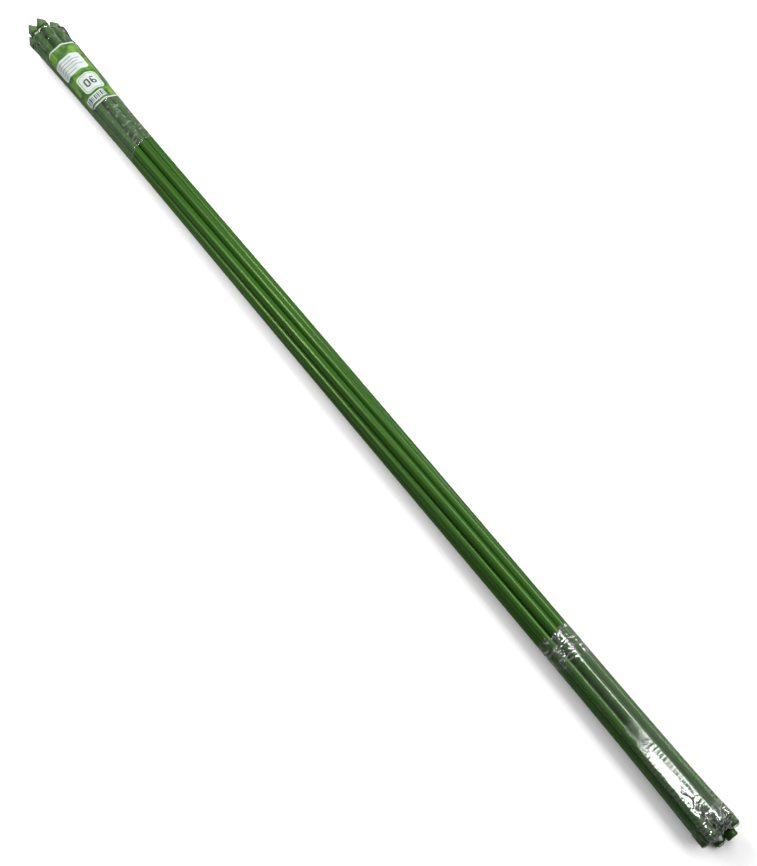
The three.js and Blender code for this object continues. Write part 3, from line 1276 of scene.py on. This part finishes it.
@dataclass
class ShrinkSleeve:
    """A sleeve of clear film, shrunk on one end of the bundle.

    Args:
        form: The bundle's form.
        node: The CAD node that it stands for.
        film_gap: From the poles to the film.
        film_wall: The film's thickness.
        deepest: How far the film sinks at most where it isn't on a flat.
        mist_side: The side where its painted sheen and painted glints go, the side that the light falls on,
            from straight up towards +Y.
        broad: Its broad waves.
    """

    form: BundleForm
    node: str
    film_gap: float = 0.08 * MM
    film_wall: float = 0.06 * MM
    deepest: float = -0.05 * MM
    mist_side: float = math.radians(50)
    broad: FilmMark = FilmMark(0.025, 0.0, 5)

    def waves(self, film: LaidFilm) -> np.ndarray:
        """Gives the broad waves' height at each point."""
        return self.broad.high * MM * self.broad.noise(film.taut, (60, 90, 90))

    def lit(self, film: LaidFilm) -> np.ndarray:
        """Finds the film's upper, lit side, where painted sheen and painted glints go, from 0 to 1."""
        angle = self.form.angle(film.skin.pole, film.x) + film.skin.lean
        return smoothstep(np.cos(angle - self.mist_side), -0.1, 0.75)

    def piece(self, name: str, points: np.ndarray, looks: Looks, film: Material, whole: bool = True) -> Piece:
        """Turns the film's points into a skin with a wall, and ties it to the frame.

        Args:
            name: The piece's name.
            points: Points by row and column.
            looks: What the film reads at each point, by the attribute's name.
            film: The film's material.
            whole: Whether it runs all the way round.

        Returns:
            The piece.
        """
        mesh = grid_mesh(name, points, whole)
        for key, values in looks.items():
            look = mesh.attributes.new(key, "FLOAT", "POINT")
            look.data.foreach_set("value", np.clip(values, 0.0, 1.0).ravel())
        face_out(mesh, False)
        piece = add_object(name, mesh, film)
        give_wall(piece, self.film_wall, 0.0)
        tie(piece, self.node)
        return piece


@dataclass
class CapEndSleeve(ShrinkSleeve):
    """The sleeve on the caps: crinkled at its mouth, flat between the poles, gathered past the caps.

    Its lengths in pairs say where a look starts and is full, or weakens and ends, from the film's
    nearer edge. Four in a row say both.

    Args:
        crowding: How much closer its rows lie at the caps.
        shoulder: How far before a cap the film starts to rise, and how far on the cap it has risen.
        overhang: How far the film reaches past the caps.
        end_round: Depth and length of its round at the caps' ends.
        sway: How far its mouth's edge strays between poles, and in small waves.
        bare_cap: The pole whose cap it leaves bare.
        drawn_in: How far the gathered end runs in towards the axis, for each pole.
        drawn_out: How far it bulges past the caps, in millimetres, for each pole.
        fold_slant: How far a fold strays along the bundle as it crosses it.
        sag: How far its flats sink at the caps' ends, and over what length.
        end_pleats: How far the gathered end rises at its rim, and sinks between poles.
    """

    node: str = "cap_end_sleeve"
    rows: int = 360
    end_rows: int = 26
    crowding: float = 0.3
    shoulder: tuple[float, float] = (5 * MM, 0.5 * MM)
    overhang: float = 0.15 * MM
    end_round: tuple[float, float] = (0.5 * MM, 1.3 * MM)
    sway: tuple[float, float] = (1.2 * MM, 0.8 * MM)
    bare_cap: int = 7
    bare_length: float = 6 * MM
    drawn_in: tuple[float, ...] = (0.35, 0.7, 0.8, 0.75, 0.7, 0.5, 0.3, 0.04)
    drawn_out: tuple[float, ...] = (0.5, 5.0, 6.5, 4.0, 1.2, 3.0, 0.3, 0.0)
    fold_slant: float = 1.5
    glare_poles: tuple[int, ...] = (2,)
    clear_poles: tuple[int, ...] = (2, 3, 4)
    slack_poles: tuple[int, ...] = (1, 2, 3)
    near_poles: tuple[int, ...] = (0, 1, 2)
    side_mist: float = 0.6
    mouth_mist: float = 0.35
    end_mist: float = 0.35
    misty_mouth: tuple[float, float] = (4 * MM, 30 * MM)
    ridged_mouth: tuple[float, float] = (16 * MM, 34 * MM)
    glare_start: tuple[float, float] = (90 * MM, 112 * MM)
    ragged_start: tuple[float, float] = (95 * MM, 110 * MM)
    slack_start: tuple[float, float] = (95 * MM, 118 * MM)
    clear_end: tuple[float, float] = (26 * MM, 40 * MM)
    folded_end: tuple[float, ...] = (6 * MM, 12 * MM, 32 * MM, 52 * MM)
    creased_end: tuple[float, float] = (30 * MM, 50 * MM)
    wrinkled_end: tuple[float, float] = (5 * MM, 18 * MM)
    wrinkled_rim: tuple[float, float] = (0.5 * MM, 2 * MM)
    sag: tuple[float, float] = (1.3 * MM, 9 * MM)
    end_pleats: tuple[float, float] = (0.35 * MM, 1.2 * MM)
    mouth_ridges: Ridges = Ridges(0.3, 0.9, 0, 2.9 * MM, 0.4)
    blobs: Patches = Patches(0.2, 0.7, 3, (520, 330, 330), (0.2, 0.34))
    teeth: Ridges = Ridges(0.08, 0.34, 7, 3.4 * MM, 0.8, 0.75)
    folds: Ridges = Ridges(0.1, 0.8, 9, 4.4 * MM, 0.6, 0.6)
    long_creases: Creases = Creases(0.12, 0.2, 13, (16, 120, 120), 0.06)
    wrinkles: Creases = Creases(0.3, 0.9, 17, (230, 330, 330), 0.16)
    pleats: Creases = Creases(0.7, 1.0, 21, (330, 330, 330), 0.17)
    rags: FilmMark = FilmMark(0.0, 0.3, 23)
    clouds: Patches = Patches(0.0, 0.25, 25, (70, 240, 240), (-0.25, 0.1))

    def build(self, material: Material) -> list[Piece]:
        """Makes the sleeve.

        Args:
            material: The film.

        Returns:
            Its pieces.
        """
        film = self.laid()
        ridge = self.teeth.drawn(film.taut)
        lift, crease = self.lift(film, ridge)
        body = film.lifted(lift)
        end, end_crease_and_glint = self.turned_in(body[-1], film.skin)
        looks = {
            "mist": np.concatenate([self.mist(film, ridge), np.full(end_crease_and_glint.shape, self.end_mist)]),
            "crease": np.concatenate([crease, end_crease_and_glint]),
        }
        return [self.piece("cap_end_film", np.concatenate([body, end]), looks, material)]

    def laid(self) -> LaidFilm:
        """Lays the film on the poles and out over the caps, up to their ends."""
        form, skin = self.form, RingSkin(self.form)
        ring = range(form.ring_poles)
        ends = [form.end(pole) - (self.bare_length if pole == self.bare_cap else 0.0) for pole in ring]
        last = skin.per_column(ends) + self.overhang
        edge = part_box(self.node)[0].x + self.sway[0] * np.sin(3 * skin.pole + 2.0)
        edge = edge + self.sway[1] * np.sin(skin.girth * 900)
        x = edge + (last - edge) * crowded(self.rows, self.crowding)
        caps = skin.per_column([form.end(pole) - form.cap_length for pole in ring])
        on_caps = smoothstep(x, caps - self.shoulder[0], caps + self.shoulder[1])
        depth, length = self.end_round
        round_off = depth * fades(last - x, 0.0, length) ** 2
        reach = form.coat_radius + self.film_gap + (form.cap_radius - form.coat_radius) * on_caps - round_off
        return LaidFilm(skin, x, reach, x - edge, last - x)

    def mist(self, film: LaidFilm, ridge: np.ndarray) -> np.ndarray:
        """Works out the film's haze, with painted sheen on its lit side and along the facet where the glare
        falls.

        Args:
            film: The taut film.
            ridge: How far each point is up one of the teeth.

        Returns:
            The haze and painted sheen at each point, from 0 to 1.
        """
        skin, along = film.skin, film.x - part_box(self.node)[0].x
        clouds = 1 - self.clouds.white + self.clouds.white * self.clouds.drawn(film.taut)
        # Painted sheen: the film is made hazier, so whiter and more reflective, along the facet where the
        # film lamp's glare falls.
        glare = np.isin(skin.pole, self.glare_poles) * smoothstep(along, *self.glare_start) * clouds
        ragged = smoothstep(along, *self.ragged_start) * np.clip(1.3 - 1.6 * skin.between, 0, 1) * (1 - ridge)
        patches = np.maximum(self.mouth_mist * fades(film.from_start, *self.misty_mouth), glare)
        # Painted sheen: the film is made hazier on its lit upper side.
        mist = np.maximum(self.side_mist * self.lit(film), patches) * (1 - ragged)
        return mist * (1 - 0.9 * np.isin(skin.pole, self.clear_poles) * fades(film.to_end, *self.clear_end))

    def lift(self, film: LaidFilm, ridge: np.ndarray) -> tuple[np.ndarray, np.ndarray]:
        """Works out how far the film stands off, and how white it turns, at its creases and painted glints.

        Args:
            film: The taut film.
            ridge: How far each point is up one of the teeth.

        Returns:
            The lift and the crease whiteness of each point.
        """
        skin, taut, to_end = film.skin, film.taut, film.to_end
        by_pole = np.clip(1 - 1.3 * skin.between, 0, 1)
        at_mouth = fades(film.from_start, *self.ridged_mouth)
        slack = smoothstep(film.from_start, *self.slack_start) * np.isin(skin.pole, self.slack_poles)
        along = taut[..., 0]
        slanted = np.stack([along - self.fold_slant * skin.girth, along + skin.girth, 0 * along], -1)
        folded = smoothstep(to_end, *self.folded_end[:2]) * fades(to_end, *self.folded_end[2:])
        folded = folded * np.isin(skin.pole, self.glare_poles) * (0.25 + 0.75 * skin.between)
        near_side = 0.2 + 0.8 * np.isin(skin.pole, self.near_poles)
        at_rim = fades(to_end, *self.wrinkled_rim)
        wrinkled = np.maximum(near_side * fades(to_end, *self.wrinkled_end), at_rim)
        # Each mark lifts the film and whitens it. The whitening is partly real stress whitening of creases
        # and partly painted glints, such as the white blobs at the mouth.
        marks = (
            (self.mouth_ridges, at_mouth * self.mouth_ridges.drawn(taut)),
            (self.blobs, at_mouth * by_pole * self.blobs.drawn(taut)),
            (self.teeth, slack * by_pole * ridge),
            (self.folds, folded * self.folds.drawn(slanted)),
            (self.long_creases, fades(to_end, *self.creased_end) * self.long_creases.drawn(taut)),
            (self.wrinkles, wrinkled * self.wrinkles.drawn(taut)),
        )
        high, crease = summed(marks)
        depth, length = self.sag
        sunk = depth * skin.between * fades(to_end, 0.0, length)
        return np.maximum(high + self.waves(film) * (1 - skin.crown), self.deepest) - sunk, crease

    def turned_in(self, rim: np.ndarray, skin: RingSkin) -> tuple[np.ndarray, np.ndarray]:
        """Draws the film in past the caps' ends, in pleats.

        Args:
            rim: Points of the sleeve's last row.
            skin: The sheet's columns.

        Returns:
            The points of the gathered end, by row and column, and the whiteness of each: its pleats' creases,
            and all of its rim.
        """
        axis = np.stack([rim[:, 0], 0 * rim[:, 0], 0 * rim[:, 0] + self.form.height], -1)
        inward, outward = skin.per_column(self.drawn_in), skin.per_column(self.drawn_out) * MM
        up, down = self.end_pleats
        covered = np.minimum(inward * 4, 1.0)
        ragged = 1 + self.rags.white * self.rags.noise(rim, (1, 230, 230))
        rows, creases = [], []
        for row in range(1, self.end_rows + 1):
            share = row / self.end_rows
            place = axis + (rim - axis) * (1 - inward * share * ragged)[:, None]
            pleat = self.pleats.drawn(place)
            rise = up * min(1.0, share * 5) + self.pleats.high * MM * pleat * min(1.0, share * 3)
            place[:, 0] += outward * share + covered * (rise - down * share * skin.between)
            rows.append(place)
            creases.append(pleat if row < self.end_rows else np.ones(pleat.shape))
        return np.array(rows), np.array(creases)


@dataclass
class TipEndSleeve(ShrinkSleeve):
    """The sleeve on the pointed ends, drawn over the card and in at the points.

    Args:
        crowding: How much further apart its rows lie at its mouth, below 0.
        card_gap: How far the card lifts the film.
        bare_point: How much of each pole it leaves bare.
        sway: How far its edge strays: in waves, and back between poles.
        mouth_tilt: How far its mouth is cut askew, to either side.
        mouth_ripple: How far its mouth's edge strays.
        creased_tips: Where its creases weaken and end, from its edge.
        past_card: Where its haze starts and is full, from the card's far edge.
        on_tips: Where it comes down off the tips, from their mouths.
        shaded_edge: How wide the painted shade at its edge is, and where it ends.
        sag: How far its flats sink at the tips, and over what length.
        bright_mouth: How wide the bright line at its mouth is.
        seam_lead: How far the seam stands out past the film's edge.
        seam_end: Where the seam ends, back from the card's far edge.
        seam_height: How high the seam stands, and how much higher its flag does.
        flag: Where the seam's flag weakens and ends.
        seam_share: Where on its flat the seam starts, as a share of the way.
        seam_step: How much further each column of the seam lies.
    """

    node: str = "tip_end_sleeve"
    rows: int = 360
    crowding: float = -0.4
    card_gap: float = 0.45 * MM
    bare_point: float = 14.2 * MM
    sway: tuple[float, float] = (0.5 * MM, 1.2 * MM)
    mouth_tilt: float = 4 * MM
    mouth_ripple: float = 0.4 * MM
    creased_tips: tuple[float, float] = (12 * MM, 34 * MM)
    past_card: tuple[float, float] = (-10 * MM, 4 * MM)
    on_tips: tuple[float, float] = (-0.5 * MM, 5 * MM)
    shaded_edge: tuple[float, float] = (0.9 * MM, 1.5 * MM)
    sag: tuple[float, float] = (0.9 * MM, 8 * MM)
    bright_mouth: float = 0.7 * MM
    folds: Creases = Creases(0.3, 0.3, 31, (120, 110, 110), 0.1)
    wrinkles: Creases = Creases(0.06, 0.1, 33, (260, 130, 130), 0.2)
    patches: Patches = Patches(0.0, 0.0, 35, (420, 330, 330), (0.22, 0.4))
    flecks: Creases = Creases(0.16, 0.6, 37, (500, 300, 300), 0.5)
    broad: FilmMark = FilmMark(0.05, 0.0, 39)
    seam_pole: int = 7
    seam_lead: float = 6 * MM
    seam_end: float = 10 * MM
    seam_height: tuple[float, float] = (0.9 * MM, 1.5 * MM)
    flag: tuple[float, float] = (6 * MM, 20 * MM)
    seam_share: float = 0.45
    seam_step: float = 0.05
    seam_rows: int = 160
    seam_columns: int = 8
    seam_wave: FilmMark = FilmMark(0.35, 0.0, 41)

    def build(self, card: "LabelCard", material: Material, welded: Material) -> list[Piece]:
        """Makes the sleeve and its seam.

        Args:
            card: The card that it covers.
            material: The film.
            welded: The seam's thicker film.

        Returns:
            Its pieces.
        """
        film = self.laid(card)
        at_tips = fades(film.from_start, *self.creased_tips)
        past_card = smoothstep(film.x - card.end, *self.past_card)
        # Painted glints: white flecks, put only on the lit upper side past the card.
        lit_side_glints = past_card * self.lit(film) * self.patches.drawn(film.taut)
        marks = (
            (self.folds, at_tips * self.folds.drawn(film.taut)),
            (self.wrinkles, at_tips * self.wrinkles.drawn(film.taut)),
            (self.flecks, lit_side_glints * self.flecks.drawn(film.taut)),
        )
        high, crease = summed(marks)
        depth, length = self.sag
        sunk = depth * film.skin.between * fades(film.from_start, 0.0, length)
        points = film.lifted(np.maximum(high + self.waves(film), self.deepest) - sunk)
        looks = {
            # Haze over and past the card, with painted sheen on the lit side past it.
            "mist": 0.1 + 0.15 * card.covers(film.x) + past_card * (0.3 + 0.2 * self.lit(film)),
            "crease": crease + 0.5 * fades(film.to_end, 0.0, self.bright_mouth),
            # Painted shade: a dark ring along the film's edge behind the tips.
            "shade": fades(film.from_start, *self.shaded_edge),
        }
        start = film.x[0, 0] - self.seam_lead
        return [self.piece("tip_end_film", points, looks, material), self.seam(start, card, welded)]

    def laid(self, card: "LabelCard") -> LaidFilm:
        """Lays the film on the poles, from behind the points and over the card to its mouth.

        Args:
            card: The card that it covers.

        Returns:
            The taut film.
        """
        form, skin = self.form, RingSkin(self.form)
        ring = range(form.ring_poles)
        first = skin.per_column([form.nose(pole) + self.bare_point for pole in ring])
        first = first + self.sway[0] * np.sin(skin.girth * 700) - self.sway[1] * skin.between
        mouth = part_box(self.node)[1].x
        tilt = self.mouth_tilt * (1 + np.sin(form.angle(skin.pole, np.array(mouth)) + skin.lean))
        edge = mouth - tilt + self.mouth_ripple * np.sin(skin.girth * 1100)
        x = first + (edge - first) * crowded(self.rows, self.crowding)
        tips = skin.per_column([form.nose(pole) + form.tip_length for pole in ring])
        on_tips = fades(x - tips, *self.on_tips)
        stand_off = np.maximum(on_tips * (form.tip_radius - form.coat_radius), card.covers(x) * self.card_gap)
        return LaidFilm(skin, x, form.coat_radius + self.film_gap + stand_off, x - first, edge - x)

    def seam(self, start: float, card: "LabelCard", material: Material) -> Piece:
        """Stands the film's welded seam on the flat that it runs along.

        Args:
            start: Where the seam begins.
            card: The card that the seam lies over.
            material: The seam's film.

        Returns:
            The seam.
        """
        lean = -self.form.step / 2
        shares = [self.seam_share + self.seam_step * column for column in range(self.seam_columns)]
        skin = RingSkin(self.form, [(self.seam_pole, lean, share) for share in shares])
        steps = [np.linspace(0, 1, count) for count in (self.seam_rows, self.seam_columns)]
        along, out = np.meshgrid(*steps, indexing="ij")
        x = start + (card.end - self.seam_end - start) * along
        flag = fades(x - start, *self.flag)
        height = self.seam_height[0] + self.seam_height[1] * flag
        height = height * smoothstep(x - start, 0.0, 4 * MM) * fades(along, 0.85, 1.0)
        places = np.stack([x, out * 10 * MM, 0 * x], -1)
        wave = self.seam_wave.high * MM * self.seam_wave.noise(places, (120, 60, 1))
        stand_off = np.maximum(card.covers(x) * self.card_gap, 0.05 * MM)
        points = skin.points(x, self.form.coat_radius + self.film_gap + stand_off, out * (height + wave))
        looks = {"mist": 0 * x + 1, "crease": 0.35 + 0.4 * flag * out}
        return self.piece("tip_film_seam", points, looks, material, False)


# The card


@dataclass
class LabelCard:
    """The printed card that the film holds round the poles."""

    form: BundleForm
    node: str = "label_card"
    clearance: float = 0.1 * MM
    thickness: float = 0.22 * MM
    corner: float = 7 * MM
    rows: int = 90
    first_pole: int = 7
    whole_poles: tuple[int, ...] = (0, 1)
    last_pole: int = 2
    last_share: float = 0.7
    shown_middle: float = 26 * MM

    def __post_init__(self) -> None:
        """Takes the card's place from the frame."""
        low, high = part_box(self.node)
        self.start, self.end = low.x, high.x

    def covers(self, x: np.ndarray) -> np.ndarray:
        """Says how far the film stands off for the card at x, from 0 to 1."""
        rise = smoothstep(x, self.start - 4 * MM, self.start)
        return rise * fades(x, self.end, self.end + 5 * MM)

    def build(self, finish: PrintedCard, material: Material) -> None:
        """Bends the card round the poles, and maps its print in the finish's units.

        Args:
            finish: The card's finish.
            material: Its material.
        """
        ring = RingSkin(self.form)
        columns = ring.span(self.first_pole, 0.0)
        for pole in self.whole_poles:
            columns += ring.span(pole)
        columns += ring.arc(self.last_pole, 1.0, -1.0)[:-1] + ring.flat(self.last_pole, self.last_share)
        skin = RingSkin(self.form, columns)
        inset = np.maximum(self.corner - np.minimum(skin.girth, skin.girth[-1] - skin.girth), 0.0)
        cut = self.corner - np.sqrt(self.corner**2 - inset**2)
        share = np.linspace(0, 1, self.rows)[:, None]
        x = self.start + cut + (self.end - self.start - 2 * cut) * share
        reach = self.form.coat_radius + self.clearance + self.thickness
        points = skin.points(x, np.full(x.shape, reach), 0.0)
        mesh = grid_mesh("printed_card", points, False)
        across = (self.shown_middle - skin.girth) / MM / finish.scale + 0 * x
        along = (x - (self.start + self.end) / 2) / MM / finish.scale
        chart = np.stack([across, along], -1).reshape(-1, 2)
        corners = np.array([loop.vertex_index for loop in mesh.loops])
        mesh.uv_layers.new(name="print").data.foreach_set("uv", chart[corners].ravel())
        mesh.polygons.foreach_set("use_smooth", [True] * len(mesh.polygons))
        outward = mesh.polygons[len(mesh.polygons) // 2]
        if (outward.center - Vector((outward.center.x, 0, self.form.height))).dot(outward.normal) < 0:
            mesh.flip_normals()
        piece = add_object("printed_card", mesh, material)
        give_wall(piece, self.thickness)
        tie(piece, self.node)


# The studio


class Lights(Enum):
    """What a lamp lights."""

    OBJECT = "all but the table"
    FILM = "the film"
    TABLE = "the table"


@dataclass(frozen=True)
class Softbox:
    """A rectangular lamp with an even face.

    Args:
        name: Its name.
        place: Where it hangs.
        aim: What it faces.
        size: Its two sides.
        level: How bright its face is.
        lights: What it lights.
        colour: Its colour.
        turn: How far it is turned about its aim, in degrees.
        in_gloss: Whether glosses show it.
        on_matt: Whether it lights what is matt.
    """

    name: str
    place: tuple[float, float, float]
    aim: tuple[float, float, float]
    size: tuple[float, float]
    level: float
    lights: Lights = Lights.OBJECT
    colour: Colour = (1.0, 1.0, 1.0)
    turn: float = 0.0
    in_gloss: bool = True
    on_matt: bool = True

    def hang(self, lit: bpy.types.Collection) -> None:
        """Hangs the lamp.

        Args:
            lit: The pieces that it is kept to, or kept off.
        """
        data = bpy.data.lights.new(self.name, "AREA")
        data.shape = "RECTANGLE"
        data.size, data.size_y = self.size
        data.energy = self.level * math.pi * self.size[0] * self.size[1]
        data.color = self.colour
        lamp = bpy.data.objects.new(self.name, data)
        toward = Vector(self.aim) - Vector(self.place)
        stand = Matrix.Translation(Vector(self.place)) @ toward.to_track_quat("-Z", "Y").to_matrix().to_4x4()
        lamp.matrix_world = stand @ Matrix.Rotation(math.radians(self.turn), 4, "Z")
        lamp.visible_glossy, lamp.visible_diffuse = self.in_gloss, self.on_matt
        lamp.light_linking.receiver_collection = lit
        bpy.context.scene.collection.objects.link(lamp)


@dataclass
class Studio:
    """Camera, lamps, world and floor.

    Args:
        azimuth: Where the camera stands round the object, from -Y towards +X.
        elevation: How steeply it looks down.
        distance: How far it is from its aim.
        aim_x: Its aim, from the bundle's middle along X.
        focal_pixels: Its focal length, in the photo's pixels.
        aim_pixels: Where its aim shows, in the photo's pixels.
        sensor: Its sensor's longer side, in millimetres.
        floor_size: The floor's side.
        floor_tones: The floor's grey where it is seen, where light bounces off it, and in glosses.
        floor_glow: How much the floor glows where it is seen.
        ambient: The world's even light.
        softboxes: The lamps.
    """

    azimuth: float = math.radians(52.61)
    elevation: float = math.radians(64.78)
    distance: float = 1225.4 * MM
    aim_x: float = 64.67 * MM
    focal_pixels: float = 1547.1
    aim_pixels: tuple[float, float] = (389.4, 442.35)
    sensor: float = 36.0
    floor_size: float = 30.0
    floor_tones: tuple[float, float, float] = (0.9, 0.33, 0.12)
    floor_glow: float = 0.03
    ambient: float = 0.06
    softboxes: tuple[Softbox, ...] = (
        Softbox("main", (0.1, 1.65, 1.83), (0.0, 0, 0), (1.6, 1.2), 8.5),
        Softbox("tip_fill", (-0.75, -0.25, 1.0), (-0.35, 0, 0), (0.8, 0.8), 3.9, in_gloss=False),
        Softbox(
            name="strip",
            place=(-0.74, -0.23, 1.45),
            aim=(-0.3, 0, 0),
            size=(0.83, 0.08),
            level=62.0,
            colour=(1.0, 0.97, 0.8),
            turn=-22.0,
            on_matt=False,
        ),
        Softbox(
            name="film_softbox",
            place=(0.252, 0.1, 1.5),
            aim=(0.252, 0.1, 0),
            size=(0.1, 1.6),
            level=33.0,
            lights=Lights.FILM,
            on_matt=False,
        ),
        Softbox("table_softbox", (0.644, 0.688, 1.45), (0.644, 0, 0), (2.85, 0.91), 4.7, Lights.TABLE),
        Softbox(
            name="table_side_softbox",
            place=(-2.017, -0.589, 1.45),
            aim=(-2.017, 0, 0),
            size=(2.13, 1.84),
            level=9.8,
            lights=Lights.TABLE,
        ),
    )

    def camera(self, form: BundleForm) -> None:
        """Stands the camera so that the aimed point shows at its pixel.

        Args:
            form: The bundle's form.
        """
        turn, rise = self.azimuth, self.elevation
        back = Vector((math.sin(turn) * math.cos(rise), -math.cos(turn) * math.cos(rise), math.sin(rise)))
        right = Vector((math.cos(turn), math.sin(turn), 0))
        up = back.cross(right)
        scale = self.distance / self.focal_pixels
        aside = (self.aim_pixels[0] - PHOTO_SIZE[0] / 2) * scale
        below = (self.aim_pixels[1] - PHOTO_SIZE[1] / 2) * scale
        aim = Vector((form.middle + self.aim_x, 0, form.height))
        data = bpy.data.cameras.new("camera")
        data.sensor_width = self.sensor
        data.lens = self.focal_pixels * self.sensor / max(PHOTO_SIZE)
        camera = bpy.data.objects.new("camera", data)
        place = aim + back * self.distance - right * aside + up * below
        camera.matrix_world = Matrix.Translation(place) @ Matrix((right, up, back)).transposed().to_4x4()
        bpy.context.scene.collection.objects.link(camera)
        bpy.context.scene.camera = camera

    def lamps(self, floor: Piece, films: Sequence[Piece]) -> None:
        """Hangs the softboxes.

        Args:
            floor: The floor, which the object's lamps are flagged off.
            films: The pieces of film.
        """
        kept = {
            Lights.OBJECT: ([floor], "EXCLUDE"),
            Lights.TABLE: ([floor], "INCLUDE"),
            Lights.FILM: (films, "INCLUDE"),
        }
        groups = {}
        for lights, (pieces, state) in kept.items():
            groups[lights] = bpy.data.collections.new(lights.value)
            for piece in pieces:
                groups[lights].objects.link(piece)
            for member in groups[lights].collection_objects:
                member.light_linking.link_state = state
        for softbox in self.softboxes:
            softbox.hang(groups[softbox.lights])

    def world(self) -> None:
        """Lights the dark room faintly, and shows white behind the object."""
        world = bpy.data.worlds.new("studio")
        world.use_nodes = True
        bpy.context.scene.world = world
        shader = Shader(world.node_tree)
        strength = shader.math("MULTIPLY_ADD", self.seen(shader), 1.0 - self.ambient, self.ambient)
        shader.fill(world.node_tree.nodes["Background"], Color=opaque((1, 1, 1)), Strength=strength)

    @staticmethod
    def seen(shader: Shader, gloss: bool = False) -> Socket:
        """Is 1 for rays that show the background, straight, through film, or in a gloss too."""
        rays = shader.add("ShaderNodeLightPath").outputs
        seen = shader.math("MAXIMUM", rays["Is Camera Ray"], rays["Is Transmission Ray"])
        return shader.math("MAXIMUM", seen, rays["Is Glossy Ray"]) if gloss else seen

    @staticmethod
    def far_off(shader: Shader) -> Socket:
        """Grows from 0 round the bundle to 1 away from it, where the table's lamps fall off."""
        away = shader.add("ShaderNodeVectorMath", operation="LENGTH")
        shader.feed(away.inputs[0], shader.place((0.4, 1.0, 1.0)))
        return shader.ramp(away.outputs["Value"], 0.22, 0.6)

    def floor(self) -> Piece:
        """Lays a plain pale floor that keeps the object's shadow, and gives it."""
        half = self.floor_size / 2
        mesh = bpy.data.meshes.new("floor")
        corners = [(-half, -half, 0), (half, -half, 0), (half, half, 0), (-half, half, 0)]
        mesh.from_pydata(corners, [], [(0, 1, 2, 3)])
        material, shader, bsdf = new_material("floor")
        seen, bounced, mirrored = (opaque((tone,) * 3) for tone in self.floor_tones)
        glossy = shader.add("ShaderNodeLightPath").outputs["Is Glossy Ray"]
        near = shader.math("MULTIPLY", self.seen(shader, True), self.floor_glow)
        far = shader.math("MULTIPLY", self.seen(shader), self.far_off(shader))
        shader.fill(
            bsdf,
            Base_Color=shader.blend(self.seen(shader), shader.blend(glossy, bounced, mirrored), seen),
            Roughness=0.9,
            Emission_Color=opaque((1, 1, 1)),
            Emission_Strength=shader.math("ADD", near, far),
        )
        floor = add_object("floor", mesh, material)
        return floor


def main() -> None:
    """Builds the object and the studio round it."""
    logging.basicConfig(level=logging.INFO, format="%(message)s")
    bpy.context.scene.view_settings.view_transform = "Standard"
    form = BundleForm()
    studio = Studio()
    studio.camera(form)
    studio.world()
    finishes = Finishes()
    tree = swept_tree()
    for index in range(form.ring_poles + 1):
        SupportPole(form, index).dress(tree, finishes)
    card = LabelCard(form)
    card.build(PrintedCard(), finishes.card)
    films = TipEndSleeve(form).build(card, finishes.film, finishes.seam)
    films += CapEndSleeve(form).build(finishes.film)
    studio.lamps(studio.floor(), films)


if __name__ == "__main__":
    main()
